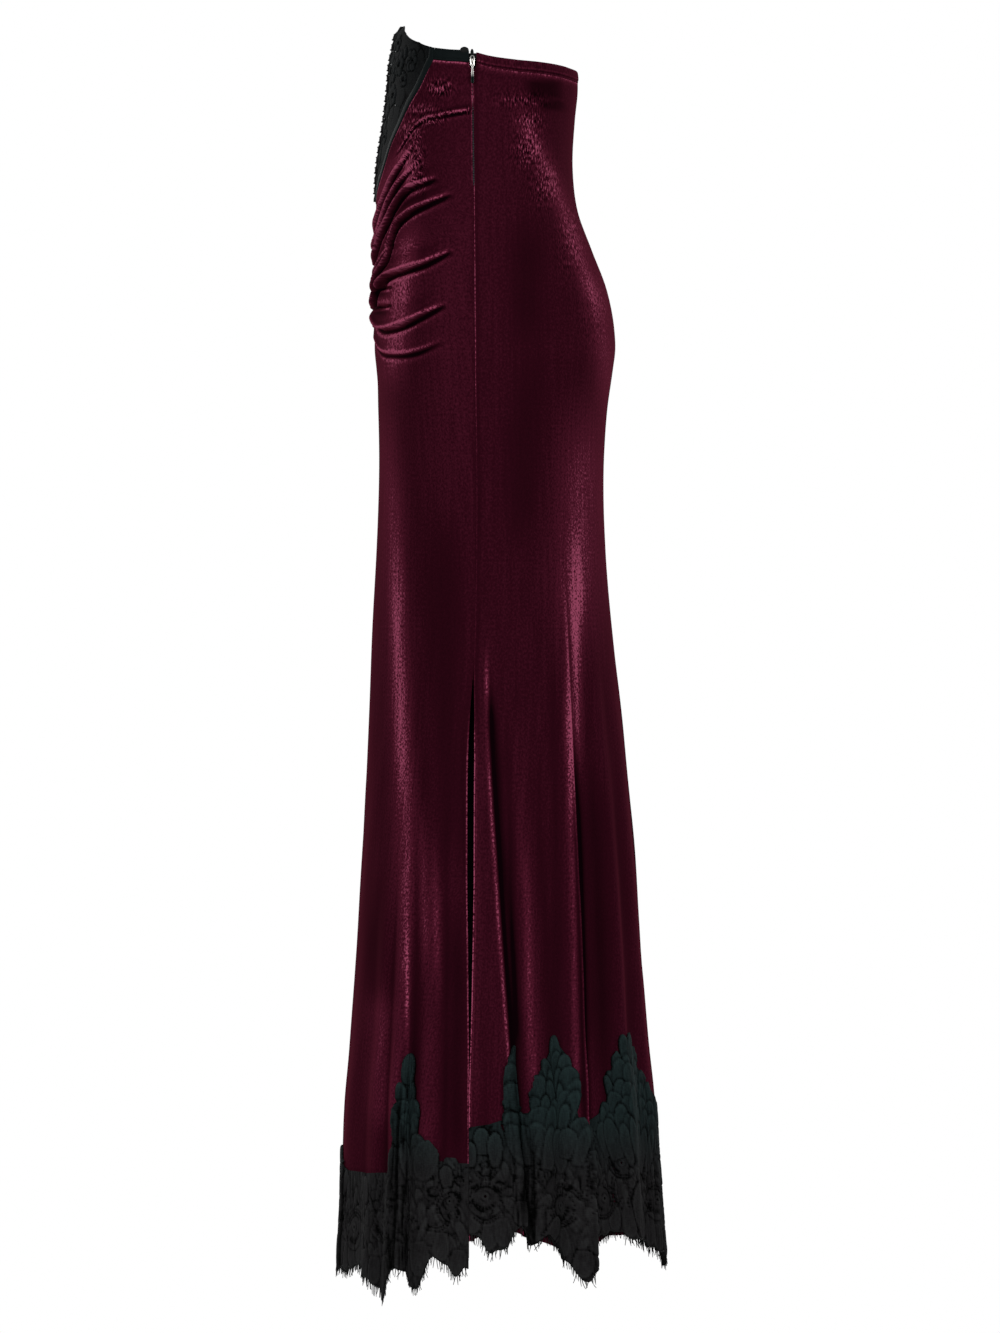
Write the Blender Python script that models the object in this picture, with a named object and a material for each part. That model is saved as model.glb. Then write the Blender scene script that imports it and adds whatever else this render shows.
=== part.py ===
"""Mermaid fishtail skirt in wine velvet, with a black lace yoke and a deep lace hem.

Metres, +Z up. The wearer faces -Y and the wearer's left is +X. The origin is the centre of the waist
opening. Sizes in the tables are millimetres, and heights are measured from the origin.

Every cloth piece lies on one shared form: an oval at each height, pushed out by the ruched folds of the
front and by the flutes of the tail. A piece is an area of that form, given by its angle round the body
(0 at the centre front, 90 at the side seam, 180 at the centre back) and by its height.
"""

import math

import bpy
import numpy as np
from mathutils import Vector
from mathutils.geometry import delaunay_2d_cdt

MM = 0.001
SEAM_GAP = 0.3
VELVET_WALL = 1.5
SATIN_WALL = 1.2
LACE_WALL = 1.0
LACE_LIFT = 1.3
SIDE = math.pi / 2
CENTRE_BACK = math.pi

# The oval at each height. front and back are the outline's places seen from the side, half_width is half
# the width seen from the front, and seam is the side seam's place between front and back.
SECTIONS = (
    # height, front, back, half_width, seam
    (-1140.0, -130.0, 160.0, 252.0, -14.0),
    (-1043.0, -127.5, 154.5, 240.0, -14.0),
    (-999.0, -125.5, 152.0, 229.0, -14.0),
    (-955.0, -124.5, 149.5, 218.0, -14.0),
    (-911.0, -122.5, 147.5, 207.0, -14.0),
    (-867.0, -118.5, 143.0, 197.0, -13.5),
    (-780.0, -112.4, 137.0, 178.0, -13.2),
    (-692.0, -107.0, 130.8, 163.0, -13.2),
    (-604.0, -102.7, 122.5, 154.5, -12.5),
    (-516.0, -99.2, 113.3, 153.0, -9.5),
    (-428.0, -94.8, 106.2, 158.0, -8.0),
    (-341.0, -92.2, 104.5, 165.0, -8.0),
    (-305.0, -93.1, 107.1, 168.0, -8.4),
    (-270.0, -95.0, 112.4, 169.0, -8.8),
    (-253.0, -98.0, 114.8, 169.0, -8.8),
    (-235.0, -98.6, 114.3, 168.0, -9.0),
    (-200.0, -98.6, 108.0, 165.0, -9.2),
    (-165.0, -98.2, 94.8, 160.0, -9.5),
    (-130.0, -97.4, 82.0, 154.0, -9.8),
    (-95.0, -96.0, 77.3, 147.0, -10.1),
    (-51.0, -89.6, 79.0, 135.0, -10.5),
    (-25.0, -86.5, 81.5, 126.0, -10.7),
    (0.0, -84.3, 80.5, 118.5, -11.0),
    (15.0, -81.2, 79.5, 116.0, -11.0),
    (23.0, -79.6, 79.0, 115.5, -11.0),
    (32.0, -72.9, 79.0, 115.5, -11.0),
)

# The waist's top edge, and the hem of the velvet, round the body.
WAIST_EDGE = (
    # angle, height
    (0.0, 31.6),
    (10.0, 26.5),
    (22.0, 22.5),
    (36.0, 19.8),
    (45.0, 16.7),
    (52.0, 14.0),
    (61.0, 11.4),
    (72.0, 9.7),
    (90.0, 7.6),
    (99.0, 4.0),
    (113.0, 0.9),
    (130.0, -1.2),
    (145.0, -3.5),
    (163.0, -7.0),
    (180.0, -9.0),
)
VELVET_HEM = (
    # angle, height
    (0.0, -1052.0),
    (60.0, -1050.0),
    (80.0, -1041.0),
    (90.0, -1032.0),
    (100.0, -1020.0),
    (110.0, -1036.0),
    (119.0, -1047.0),
    (135.0, -1040.0),
    (150.0, -1033.0),
    (180.0, -1028.0),
)

# The lower edge of the black yoke, from the waist to its point at the centre front.
YOKE_EDGE = (
    # angle, height
    (0.0, -125.6),
    (11.6, -112.4),
    (25.5, -88.7),
    (29.9, -73.8),
    (36.6, -58.0),
    (44.3, -39.5),
    (52.0, -24.6),
    (62.3, 0.0),
)
BAND_DEPTH = 10.0
BINDING_WIDTH = 7.0
BINDING_TIP = 12.0
YOKE_INSET = 2.0
BRAID_WIDTH = 9.0
BRAID_WALL = 1.4
BRAID_SCALLOP = 9.0
BRAID_WAVE = 0.3

# Folds of the ruched front. Each ridge runs from the centre front up to the side through three heights.
FOLDS = (
    # at 0, at 40, at 75 degrees, ridge height, end angle, ridge width
    (-131.0, -90.0, -52.0, 2.6, 84.0, 6.0),
    (-143.0, -114.0, -101.0, 4.6, 70.0, 6.0),
    (-160.0, -130.0, -116.0, 5.2, 79.0, 6.5),
    (-180.0, -165.0, -146.0, 4.2, 55.0, 6.5),
    (-197.0, -181.0, -164.0, 6.0, 79.0, 7.5),
    (-213.0, -204.0, -190.0, 3.8, 56.0, 6.5),
    (-229.0, -227.0, -212.0, 5.6, 73.0, 8.0),
    (-250.0, -253.0, -241.0, 4.0, 76.0, 10.0),
)
FOLD_MID = math.radians(40.0)
FOLD_SIDE = math.radians(75.0)
FOLD_AT_FRONT = 0.4
FOLD_FULL = math.radians(16.0)
FOLD_UNDERSIDE = 0.7

# Flutes of the tail: rounded ridges that grow from the thigh down to the hem.
FLUTES = (
    # crest angle at the knee and at the hem, ridge height at the hem, spread to front and to back, start
    (22.0, 22.0, 5.0, 15.0, 13.0, -600.0),
    (42.0, 43.0, 5.0, 9.0, 7.0, -640.0),
    (55.0, 57.0, 9.0, 8.0, 6.5, -600.0),
    (70.0, 71.0, 8.0, 8.0, 9.0, -560.0),
    (95.0, 100.0, 9.0, 8.0, 4.5, -520.0),
    (107.0, 111.0, 12.0, 7.0, 8.5, -540.0),
    (133.0, 127.5, 15.0, 9.0, 7.0, -420.0),
    (148.0, 145.0, 12.0, 9.0, 8.0, -500.0),
    (165.0, 163.0, 9.0, 9.0, 9.0, -540.0),
)
HEM_HEIGHT = -1043.0
FLUTE_GROWTH = 0.95
MOST_GROWTH = 1.1

# The slit in each side seam: how far it stands open at each height.
SLIT = (
    # height, opening
    (-1140.0, 0.3),
    (-880.0, 0.3),
    (-823.0, 2.6),
    (-720.0, 5.3),
    (-613.0, 5.3),
    (-573.0, 3.5),
    (-532.0, 0.3),
)
ZIP_END = -110.0
ZIP_OPENING = 1.6
TAPE_HALF = 6.0
TAPE_DEPTH = 1.1
TAPE_WALL = 1.0
TAPE_RISE = 2.0
TAPE_BELOW = 8.0
TAPE_ROWS = 7

KNEE = -560.0
FRONT_HIGH_ANGLES = (0, 9, 18, 27, 36, 45, 53, 62.3, 72, 81, 90)
FRONT_LOW_ANGLES = (0, 9, 16, 22, 29, 36, 43, 50, 57, 63.5, 71, 77, 83.5, 90)
BACK_HIGH_ANGLES = (90, 99, 109, 119, 130, 141, 153, 166, 180)
BACK_LOW_ANGLES = (
    90, 93, 96.5, 99.5, 102, 104, 106.5, 109, 111, 113.5, 116.5, 119.5, 123, 125.5,
    127.5, 130, 134.5, 137.5, 141, 145, 149, 153, 157, 163, 168, 174, 180,
)  # fmt: skip
LOW_ROWS = (0.0, 0.13, 0.27, 0.41, 0.55, 0.68, 0.79, 0.9, 1.0)

# The lace border's upper edge and its cut lower edge, before its thread fringe.
LACE_FRONT_TOP = (
    # angle, height
    (0.0, -950.0),
    (7.0, -952.0),
    (15.5, -963.0),
    (25.0, -971.0),
    (40.0, -973.0),
    (54.5, -972.0),
    (56.3, -940.0),
    (57.2, -902.0),
    (58.4, -878.0),
    (61.2, -870.0),
    (64.0, -877.0),
    (65.4, -898.0),
    (67.6, -908.0),
    (69.6, -938.0),
    (73.2, -950.0),
    (77.0, -962.0),
    (87.6, -964.0),
)
LACE_BACK_TOP = (
    # angle, height
    (87.8, -931.0),
    (96.3, -927.0),
    (100.0, -923.0),
    (101.2, -896.0),
    (103.0, -860.0),
    (104.4, -862.0),
    (105.4, -922.0),
    (107.8, -914.0),
    (109.4, -904.0),
    (110.8, -880.0),
    (114.5, -866.0),
    (117.3, -854.0),
    (120.2, -859.0),
    (122.8, -868.0),
    (124.2, -906.0),
    (124.9, -931.0),
    (127.3, -948.0),
    (129.6, -925.0),
    (134.2, -917.0),
    (136.6, -909.0),
    (138.4, -884.0),
    (141.9, -872.0),
    (144.0, -856.0),
    (147.3, -852.0),
    (152.6, -858.0),
    (156.6, -878.0),
    (163.0, -903.0),
    (172.0, -927.0),
    (180.0, -938.0),
)
LACE_FRONT_EDGE = (
    # angle, height
    (0.0, -1058.0),
    (12.0, -1046.0),
    (27.0, -1058.0),
    (36.0, -1052.0),
    (45.0, -1068.0),
    (54.0, -1080.0),
    (59.0, -1056.0),
    (64.0, -1062.0),
    (70.0, -1074.0),
    (74.0, -1048.0),
    (80.0, -1052.0),
    (84.5, -1062.0),
    (87.6, -1056.0),
)
LACE_BACK_EDGE = (
    # angle, height
    (87.8, -1026.0),
    (92.0, -1026.0),
    (96.5, -1042.0),
    (101.0, -1036.0),
    (104.8, -1018.0),
    (107.5, -1036.0),
    (111.5, -1028.0),
    (115.5, -1037.0),
    (119.5, -1050.0),
    (124.5, -1068.0),
    (127.5, -1036.0),
    (133.0, -1028.0),
    (139.0, -1024.0),
    (143.5, -1032.0),
    (149.5, -1028.0),
    (157.0, -1038.0),
    (168.0, -1050.0),
    (180.0, -1040.0),
)
EDGE_STEP = 12.5
TOP_STEP = 24.0
LACE_BEND_HEIGHT = -1000.0
LACE_BEND = math.radians(9.0)
LACE_END_ROW = 1.12

# Openwork of the lace: rosettes of petal holes round an eyelet, and ladders of bar holes up its points.
ROSETTES = (
    # angle, height, ring radius, petals
    (10.0, -1004.0, 13.0, 6),
    (29.0, -1014.0, 14.0, 7),
    (48.0, -1020.0, 15.0, 7),
    (66.0, -1016.0, 13.0, 6),
    (79.5, -1004.0, 12.0, 6),
    (95.0, -978.0, 13.0, 6),
    (115.0, -990.0, 15.0, 7),
    (136.0, -978.0, 14.0, 7),
    (152.0, -982.0, 14.0, 7),
    (170.0, -988.0, 14.0, 7),
)
HOLE_SIDES = 5
EYELET = 3.2
PETAL_LENGTH = 4.2
PETAL_WIDTH = 2.6
LADDERS = (
    # angle and height at its foot, angle and height at its head, bars
    (60.6, -985.0, 60.8, -896.0, 7),
    (116.6, -960.0, 116.8, -876.0, 7),
    (142.5, -944.0, 144.6, -876.0, 6),
    (125.8, -1020.0, 126.0, -972.0, 4),
    (151.6, -952.0, 151.4, -878.0, 6),
    (20.0, -1030.0, 19.6, -984.0, 4),
    (38.5, -1036.0, 38.5, -992.0, 4),
    (72.5, -1028.0, 72.5, -974.0, 4),
    (104.4, -1000.0, 104.4, -948.0, 4),
    (161.0, -1020.0, 161.0, -938.0, 6),
)
BAR_LENGTH = 9.5
BAR_HEIGHT = 4.6
BAR_CORNERS = np.array([(1.0, 1.0), (-1.0, 1.0), (-1.0, -1.0), (1.0, -1.0)])

# The lace's thread fringe: strands hang from a narrow strip under the lace's cut edge.
STRAND_ROOT = 2.2
STRAND_LENGTHS = (9.0, 11.0, 8.0, 12.0, 10.0)
FRINGE_STRIP = 2.0
FRINGE_DROP = 1.0
STRIP_END_GAP = 0.4
FRINGE_LIFT = 0.5

# Zip slider and its pull tab, at the top of the left side seam.
SLIDER_HEIGHT = -1.0
SLIDER_WIDTH = 5.0
SLIDER_LENGTH = 9.0
SLIDER_PLATE = 1.8
CROWN_GAP = 2.0
CROWN_STRAP = 0.9
CROWN_WIDTH = 1.6
CROWN_INNER = 1.8
CROWN_SINK = 0.6
SLIDER_ROUND = 0.5
PULL_THICKNESS = 0.9
PULL_WIDTH = 4.4
PULL_TIP_WIDTH = 3.2
PULL_LENGTH = 17.0
PULL_EYE = 3.4
EYE_GAP = 0.45
TIP_SIDES = 8
SEAT_GAP = 0.4


def column(table, index):
    return np.array([row[index] for row in table])


def curve_through(places, values, at):
    """A smooth curve through the values, with each one's slope taken from its neighbours."""
    slopes = np.gradient(values, places)
    at = np.clip(at, places[0], places[-1])
    left = np.clip(np.searchsorted(places, at) - 1, 0, len(places) - 2)
    span = places[left + 1] - places[left]
    part = (at - places[left]) / span
    rise = part * part * (3 - 2 * part)
    start_slope = slopes[left] * span * part * (1 - part) ** 2
    end_slope = slopes[left + 1] * span * part * part * (part - 1)
    return values[left] * (1 - rise) + values[left + 1] * rise + start_slope + end_slope


def ease(low, high, at):
    part = np.clip((at - low) / (high - low), 0, 1)
    return part * part * (3 - 2 * part)


def by_angle(table, angle):
    """The height of an edge at an angle in radians, the same on the left and the right."""
    return np.interp(np.abs(angle), np.radians(column(table, 0)), column(table, 1))


def oval(height):
    heights = column(SECTIONS, 0)
    return [curve_through(heights, column(SECTIONS, index), height) for index in (1, 2, 3, 4)]


def fold_line(fold, turn):
    """The height of a fold's ridge: a curve through its heights at 0, 40 and 75 degrees."""
    front, middle, side = fold[:3]
    first = (middle - front) / FOLD_MID
    second = (side - middle) / (FOLD_SIDE - FOLD_MID)
    bend = (second - first) / FOLD_SIDE
    return front + first * turn + bend * turn * (turn - FOLD_MID)


def ruching(turn, height):
    push = np.zeros(np.broadcast(turn, height).shape)
    for fold in FOLDS:
        ridge, end, width = fold[3], math.radians(fold[4]), fold[5]
        above = height - fold_line(fold, turn)
        spread = np.where(above > 0, width, width * FOLD_UNDERSIDE)
        swell = FOLD_AT_FRONT + (1 - FOLD_AT_FRONT) * ease(0, FOLD_FULL, turn)
        fade = 1 - ease(end * 0.45, end, turn)
        push = push + ridge * swell * fade * np.exp(-((above / spread) ** 2))
    return push


def fluting(turn, height):
    push = np.zeros(np.broadcast(turn, height).shape)
    part = (KNEE - height) / (KNEE - HEM_HEIGHT)
    for knee_crest, hem_crest, ridge, ahead, behind, start in FLUTES:
        away = np.degrees(turn) - (knee_crest * (1 - part) + hem_crest * part)
        spread = np.where(away < 0, ahead, behind)
        shape = np.cos(np.clip(np.abs(away) / spread, 0, 1) * math.pi / 2) ** 2
        growth = np.clip((start - height) / (start - HEM_HEIGHT), 0, MOST_GROWTH) ** FLUTE_GROWTH
        push = push + ridge * growth * shape
    return push


def form(angle, height):
    """Points of the cloth's outer face, in millimetres, for angles in radians and heights."""
    front, back, half_width, seam = oval(height)
    turn = np.abs(angle)
    depth = np.where(turn < SIDE, seam - front, back - seam)
    out_x = np.sin(angle) * depth
    out_y = -np.cos(angle) * half_width
    length = np.hypot(out_x, out_y)
    set_back = YOKE_INSET * np.exp(-((np.degrees(turn) / 22) ** 2)) * ease(-275, -245, height)
    push = ruching(turn, height) + fluting(turn, height) - set_back
    x = half_width * np.sin(angle) + push * out_x / length
    y = seam - depth * np.cos(angle) + push * out_y / length
    return np.stack([x, y, height + np.zeros_like(x)], axis=-1)


def facing(angle, height):
    """Outward unit normals of the form, from points close on both sides."""
    small_turn, small_rise = 0.004, 0.6
    along = form(angle + small_turn, height) - form(angle - small_turn, height)
    up = form(angle, height + small_rise) - form(angle, height - small_rise)
    normal = np.cross(along, up)
    return normal / np.linalg.norm(normal, axis=-1, keepdims=True)


def millimetres_round(angle, height):
    """How many millimetres one radian is, along the oval."""
    front, back, half_width, seam = oval(height)
    depth = np.where(np.abs(angle) < SIDE, seam - front, back - seam)
    return np.hypot(half_width * np.cos(angle), depth * np.sin(angle))


def make_material(name, colour, roughness, metallic=0.0):
    material = bpy.data.materials.new(name)
    material.use_nodes = True
    shader = material.node_tree.nodes["Principled BSDF"]
    shader.inputs["Base Color"].default_value = (*colour, 1.0)
    shader.inputs["Roughness"].default_value = roughness
    shader.inputs["Metallic"].default_value = metallic
    material.diffuse_color = (*colour, 1.0)
    return material


def add_mesh(name, points, faces, material):
    """Makes an object from points in millimetres."""
    mesh = bpy.data.meshes.new(name)
    mesh.from_pydata((np.asarray(points) * MM).tolist(), [], [list(map(int, face)) for face in faces])
    mesh.materials.append(material)
    mesh.shade_smooth()
    mesh.set_sharp_from_angle(angle=math.radians(50))
    body = bpy.data.objects.new(name, mesh)
    bpy.context.collection.objects.link(body)
    return body


def close_wall(name, outer, inner, faces, material):
    """A closed wall: the outer face, the inner face turned round, and a rim along every open edge."""
    count = len(outer)
    edges = {(face[i], face[(i + 1) % len(face)]) for face in faces for i in range(len(face))}
    rim = [(b, a, a + count, b + count) for a, b in sorted(edges) if (b, a) not in edges]
    inside = [tuple(index + count for index in reversed(face)) for face in faces]
    return add_mesh(name, np.concatenate([outer, inner]), list(faces) + inside + rim, material)


def cloth(name, angle, height, faces, wall, material, lift=0.0):
    """A wall on the form, its outer face lifted off it by lift."""
    base = form(angle, height)
    normal = facing(angle, height)
    return close_wall(name, base + normal * lift, base + normal * (lift - wall), faces, material)


def strips(rows):
    """Faces between rows of points that may differ in number, each row given by its places from 0 to 1."""
    faces = []
    start = 0
    for upper, lower in zip(rows, rows[1:]):
        i, j = 0, 0
        first, second = start, start + len(upper)
        while i < len(upper) - 1 or j < len(lower) - 1:
            equal = i < len(upper) - 1 and j < len(lower) - 1 and len(upper) == len(lower)
            a, b = first + i, second + j
            if equal:
                faces.append((a, b, b + 1, a + 1))
                i, j = i + 1, j + 1
            elif j == len(lower) - 1 or (i < len(upper) - 1 and upper[i + 1] <= lower[j + 1]):
                faces.append((a, b, a + 1))
                i += 1
            else:
                faces.append((a, b, b + 1))
                j += 1
        start = second
    return faces


def mirrored(faces):
    return [tuple(reversed(face)) for face in faces]


def seam_margin(angle, height, opening):
    """Moves points at the side or the centre off the seam line by half the seam's opening."""
    margin = opening / 2 / millimetres_round(angle, height)
    low, high = angle.min(), angle.max()
    at_low = np.isclose(angle, low)
    at_high = np.isclose(angle, high)
    return angle + np.where(at_low, margin, 0) - np.where(at_high, margin, 0)


def side_opening(height):
    """How far the side seam stands open: SEAM_GAP, and more at the slit."""
    return np.maximum(np.interp(height, column(SLIT, 0), column(SLIT, 1)), SEAM_GAP)


def zip_opening(height):
    return np.where(height > ZIP_END, ZIP_OPENING, SEAM_GAP)


def seam_openings(angle, height, with_zip):
    at_side = np.isclose(angle, SIDE)
    opening = side_opening(height)
    if with_zip:
        opening = np.maximum(opening, zip_opening(height))
    return np.where(at_side, opening, SEAM_GAP)


def build_panel(name, rows, side, material):
    """A velvet panel from rows of (angles, heights), on the wearer's left (side 1) or right (side -1)."""
    places = [(angles - angles[0]) / (angles[-1] - angles[0]) for angles, _ in rows]
    faces = strips(places)
    angle = np.concatenate([angles for angles, _ in rows])
    height = np.concatenate([heights for _, heights in rows])
    angle = seam_margin(angle, height, seam_openings(angle, height, side > 0))
    if side < 0:
        faces = mirrored(faces)
    return cloth(name, side * angle, height, faces, VELVET_WALL, material)


def below_band(angle):
    return by_angle(WAIST_EDGE, angle) - BAND_DEPTH - SEAM_GAP


def yoke_line(angle):
    """The yoke's lower edge out to where it meets the waistband, and the waistband's lower edge from there."""
    last = math.radians(YOKE_EDGE[-1][0])
    edge = np.interp(np.abs(angle), np.radians(column(YOKE_EDGE, 0)), column(YOKE_EDGE, 1))
    return np.where(np.abs(angle) <= last + 1e-6, edge, below_band(angle))


def front_rows():
    """Rows of a front panel: yoke line, one ridge and two flanks for each fold, then evenly to the hem."""
    high = np.radians(np.array(FRONT_HIGH_ANGLES, float))
    low = np.radians(np.array(FRONT_LOW_ANGLES, float))
    top = yoke_line(high) - SEAM_GAP
    first = fold_line(FOLDS[0], high)
    rows = [(high, top * (1 - part) + first * part) for part in (0.0, 0.3, 0.65)]
    for fold, following in zip(FOLDS, FOLDS[1:]):
        upper, lower = fold_line(fold, high), fold_line(following, high)
        rows += [(high, upper * (1 - part) + lower * part) for part in (0.0, 0.34, 0.67)]
    last = fold_line(FOLDS[-1], high)
    rows += [(high, last * (1 - part) + KNEE * part) for part in (0.0, 0.05, 0.12, 0.24, 0.42, 0.68)]
    return rows + low_rows(low)


def low_rows(angles):
    hem = by_angle(VELVET_HEM, angles)
    return [(angles, KNEE + (hem - KNEE) * part) for part in LOW_ROWS]


def back_rows():
    high = np.radians(np.array(BACK_HIGH_ANGLES, float))
    low = np.radians(np.array(BACK_LOW_ANGLES, float))
    top = below_band(high)
    parts = (0.0, 0.06, 0.12, 0.19, 0.26, 0.33, 0.4, 0.47, 0.56, 0.7, 0.85)
    return [(high, top * (1 - part) + KNEE * part) for part in parts] + low_rows(low)


def build_band(name, angles, material, closed_by=0.0):
    """A waistband: a strip of BAND_DEPTH under the waist's edge."""
    steps = np.radians(np.array(angles, float))
    lean = math.copysign(1, steps[-1] - steps[0])
    margin = lean * (SEAM_GAP / 2 + closed_by) / millimetres_round(steps, np.zeros_like(steps))
    steps = steps.copy()
    steps[0] += margin[0]
    steps[-1] -= margin[-1]
    top = by_angle(WAIST_EDGE, steps)
    angle = np.concatenate([steps, steps, steps])
    height = np.concatenate([top, top - BAND_DEPTH / 2, top - BAND_DEPTH])
    faces = strips([np.linspace(0, 1, len(steps))] * 3)
    if lean < 0:
        faces = mirrored(faces)
    return cloth(name, angle, height, faces, SATIN_WALL, material)


def binding_lines(angles):
    """The binding's outer edge along the yoke line, and its inner edge, moved square across by its width."""
    outer = yoke_line(angles)
    scale = millimetres_round(angles, outer)
    along = np.gradient(outer, angles) / scale
    length = np.hypot(1, along)
    inner_angle = np.maximum(angles - BINDING_WIDTH * along / length / scale, 0)
    inner = outer + BINDING_WIDTH / length
    inner_angle[0] = 0.0
    inner[0] = outer[0] + BINDING_TIP
    return outer, inner_angle, inner


def binding_angles():
    last = YOKE_EDGE[-1][0]
    return np.radians(np.array([angle for angle in FRONT_HIGH_ANGLES if angle <= last], float))


def build_binding(name, side, material):
    """The strip along one edge of the yoke, run on up to the waist's edge."""
    angles = binding_angles()
    outer, inner_angle, inner = binding_lines(angles)
    top_angles = np.array([angles[-1], inner_angle[-1]])
    top = by_angle(WAIST_EDGE, top_angles)
    outer_angle = np.append(angles, top_angles[0])
    outer = np.append(outer, top[0])
    inner_angle = np.append(inner_angle, top_angles[1])
    inner = np.append(inner, top[1])
    centre = SEAM_GAP / 2 / millimetres_round(0.0, outer[0])
    outer_angle[0] += centre
    inner_angle[0] += centre
    count = len(outer_angle)
    angle = np.concatenate([inner_angle, outer_angle])
    height = np.concatenate([inner, outer])
    faces = [(i, i + count, i + count + 1, i + 1) for i in range(count - 1)]
    if side < 0:
        faces = mirrored(faces)
    return cloth(name, side * angle, height, faces, SATIN_WALL, material, lift=0.2)


def inside_loop(loop, points):
    """Which points lie inside a closed loop, by counting crossings."""
    inside = np.zeros(len(points), bool)
    for start, end in zip(loop, np.roll(loop, -1, axis=0)):
        crosses = (start[1] > points[:, 1]) != (end[1] > points[:, 1])
        with np.errstate(divide="ignore", invalid="ignore"):
            at = (end[0] - start[0]) * (points[:, 1] - start[1]) / (end[1] - start[1]) + start[0]
        inside ^= crosses & (points[:, 0] < at)
    return inside


def fill(outline, holes, extra, creases=()):
    """Triangles inside an outline and outside its holes, turned anticlockwise, with the points they use.

    extra holds more points, and creases holds pairs of points: no triangle crosses the line between a pair.
    """
    loops = [outline] + list(holes)
    starts = np.cumsum([0] + [len(loop) for loop in loops])
    edges = []
    for start, loop in zip(starts, loops):
        edges += [(int(start + i), int(start + (i + 1) % len(loop))) for i in range(len(loop))]
    edges += [(int(starts[-1]) + 2 * i, int(starts[-1]) + 2 * i + 1) for i in range(len(creases))]
    ends = np.asarray(creases, float).reshape(-1, 2)
    points = np.concatenate(loops + [ends, np.asarray(extra).reshape(-1, 2)])
    result = delaunay_2d_cdt([Vector(point) for point in points], edges, [], 0, 1e-4)
    found = np.array([tuple(point) for point in result[0]])
    faces = np.array([tuple(face) for face in result[2]])
    middle = found[faces].mean(axis=1)
    keep = inside_loop(outline, middle)
    for hole in holes:
        keep &= ~inside_loop(hole, middle)
    faces = faces[keep]
    first, second = found[faces[:, 1]] - found[faces[:, 0]], found[faces[:, 2]] - found[faces[:, 0]]
    turned = first[:, 0] * second[:, 1] - first[:, 1] * second[:, 0] < 0
    faces[turned] = faces[turned][:, ::-1]
    used = np.unique(faces)
    renumber = np.zeros(len(found), int)
    renumber[used] = np.arange(len(used))
    return found[used], [tuple(int(i) for i in face) for face in renumber[faces]]


def build_yoke(name, material):
    """The black panel between the two bindings, up to the waist's pointed edge."""
    angles = binding_angles()
    _, inner_angle, inner = binding_lines(angles)
    gap = SEAM_GAP / millimetres_round(inner_angle, inner)
    inner_angle, inner = np.maximum(inner_angle - gap, 0), inner + SEAM_GAP / 2
    inner[0] += SEAM_GAP
    edge = np.linspace(0, inner_angle[-1], 9)
    right_side = np.stack([inner_angle[1:], inner[1:]], axis=1)
    top = np.stack([edge[::-1], by_angle(WAIST_EDGE, edge[::-1])], axis=1)
    half = np.concatenate([[[0.0, inner[0]]], right_side, top])
    other = half[1:-1][::-1] * (-1, 1)
    outline = np.concatenate([half, other])
    stretch = np.array([120.0, 1.0])
    inside = [
        (turn, height)
        for height in np.arange(-96, 16, 20.0)
        for turn in np.radians(np.arange(-50, 51, 10.0))
        if abs(turn) < np.interp(height - 6, inner, inner_angle) - 0.06
    ]
    points, faces = fill(outline * stretch, [], np.array(inside) * stretch)
    points = points / stretch
    return cloth(name, points[:, 0], points[:, 1], faces, SATIN_WALL, material)


def build_braid(name, material):
    """The scalloped braid down the centre front, from the yoke's peak to its point."""
    top = WAIST_EDGE[0][1] - 3.0
    bottom = YOKE_EDGE[0][1] + 2.0
    heights = np.arange(top, bottom, -BRAID_SCALLOP / 2)
    wave = 1.0 + BRAID_WAVE * (np.arange(len(heights)) % 2)
    scale = millimetres_round(0.0, heights)
    half = BRAID_WIDTH / 2 * wave / scale
    angle = np.concatenate([-half, 0 * half, half])
    height = np.tile(heights, 3)
    count = len(heights)
    faces = []
    for i in range(count - 1):
        faces += [(i, i + 1, i + 1 + count, i + count)]
        faces += [(i + count, i + 1 + count, i + 1 + 2 * count, i + 2 * count)]
    return cloth(name, angle, height, faces, BRAID_WALL, material, lift=BRAID_WALL + SEAM_GAP + 0.2)


def tail_columns():
    front = np.radians(np.array(FRONT_LOW_ANGLES, float))
    back = np.radians(np.array(BACK_LOW_ANGLES, float))
    return np.concatenate([front, back[1:]])


def on_panels(angle, height):
    """Points on the flat faces of the velvet's tail, and on past its hem, for lace to lie on."""
    columns = tail_columns()
    parts = np.append(LOW_ROWS, LACE_END_ROW)
    hem = by_angle(VELVET_HEM, columns)
    corners = form(columns[None, :], KNEE + (hem - KNEE)[None, :] * parts[:, None])
    turn = np.abs(angle)
    j = np.clip(np.searchsorted(columns, turn) - 1, 0, len(columns) - 2)
    across = (turn - columns[j]) / (columns[j + 1] - columns[j])
    part = (height - KNEE) / (hem[j] * (1 - across) + hem[j + 1] * across - KNEE)
    i = np.clip(np.searchsorted(parts, part) - 1, 0, len(parts) - 2)
    down = (part - parts[i]) / (parts[i + 1] - parts[i])
    across, down = across[:, None], down[:, None]
    upper = corners[i, j] * (1 - across) + corners[i, j + 1] * across
    lower = corners[i + 1, j] * (1 - across) + corners[i + 1, j + 1] * across
    points = upper * (1 - down) + lower * down
    points[:, 0] *= np.where(angle < 0, -1, 1)
    return points


def hem_round():
    """Angles round one half of the hem, and the millimetres along it from the centre front."""
    angles = np.linspace(0, CENTRE_BACK, 721)
    speed = millimetres_round(angles, np.full_like(angles, -990.0))
    along = np.concatenate([[0], np.cumsum((speed[1:] + speed[:-1]) / 2 * np.diff(angles))])
    return angles, along


def to_flat(angle):
    angles, along = hem_round()
    return np.sign(angle) * np.interp(np.abs(angle), angles, along)


def to_angle(flat):
    angles, along = hem_round()
    return np.sign(flat) * np.interp(np.abs(flat), along, angles)


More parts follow.
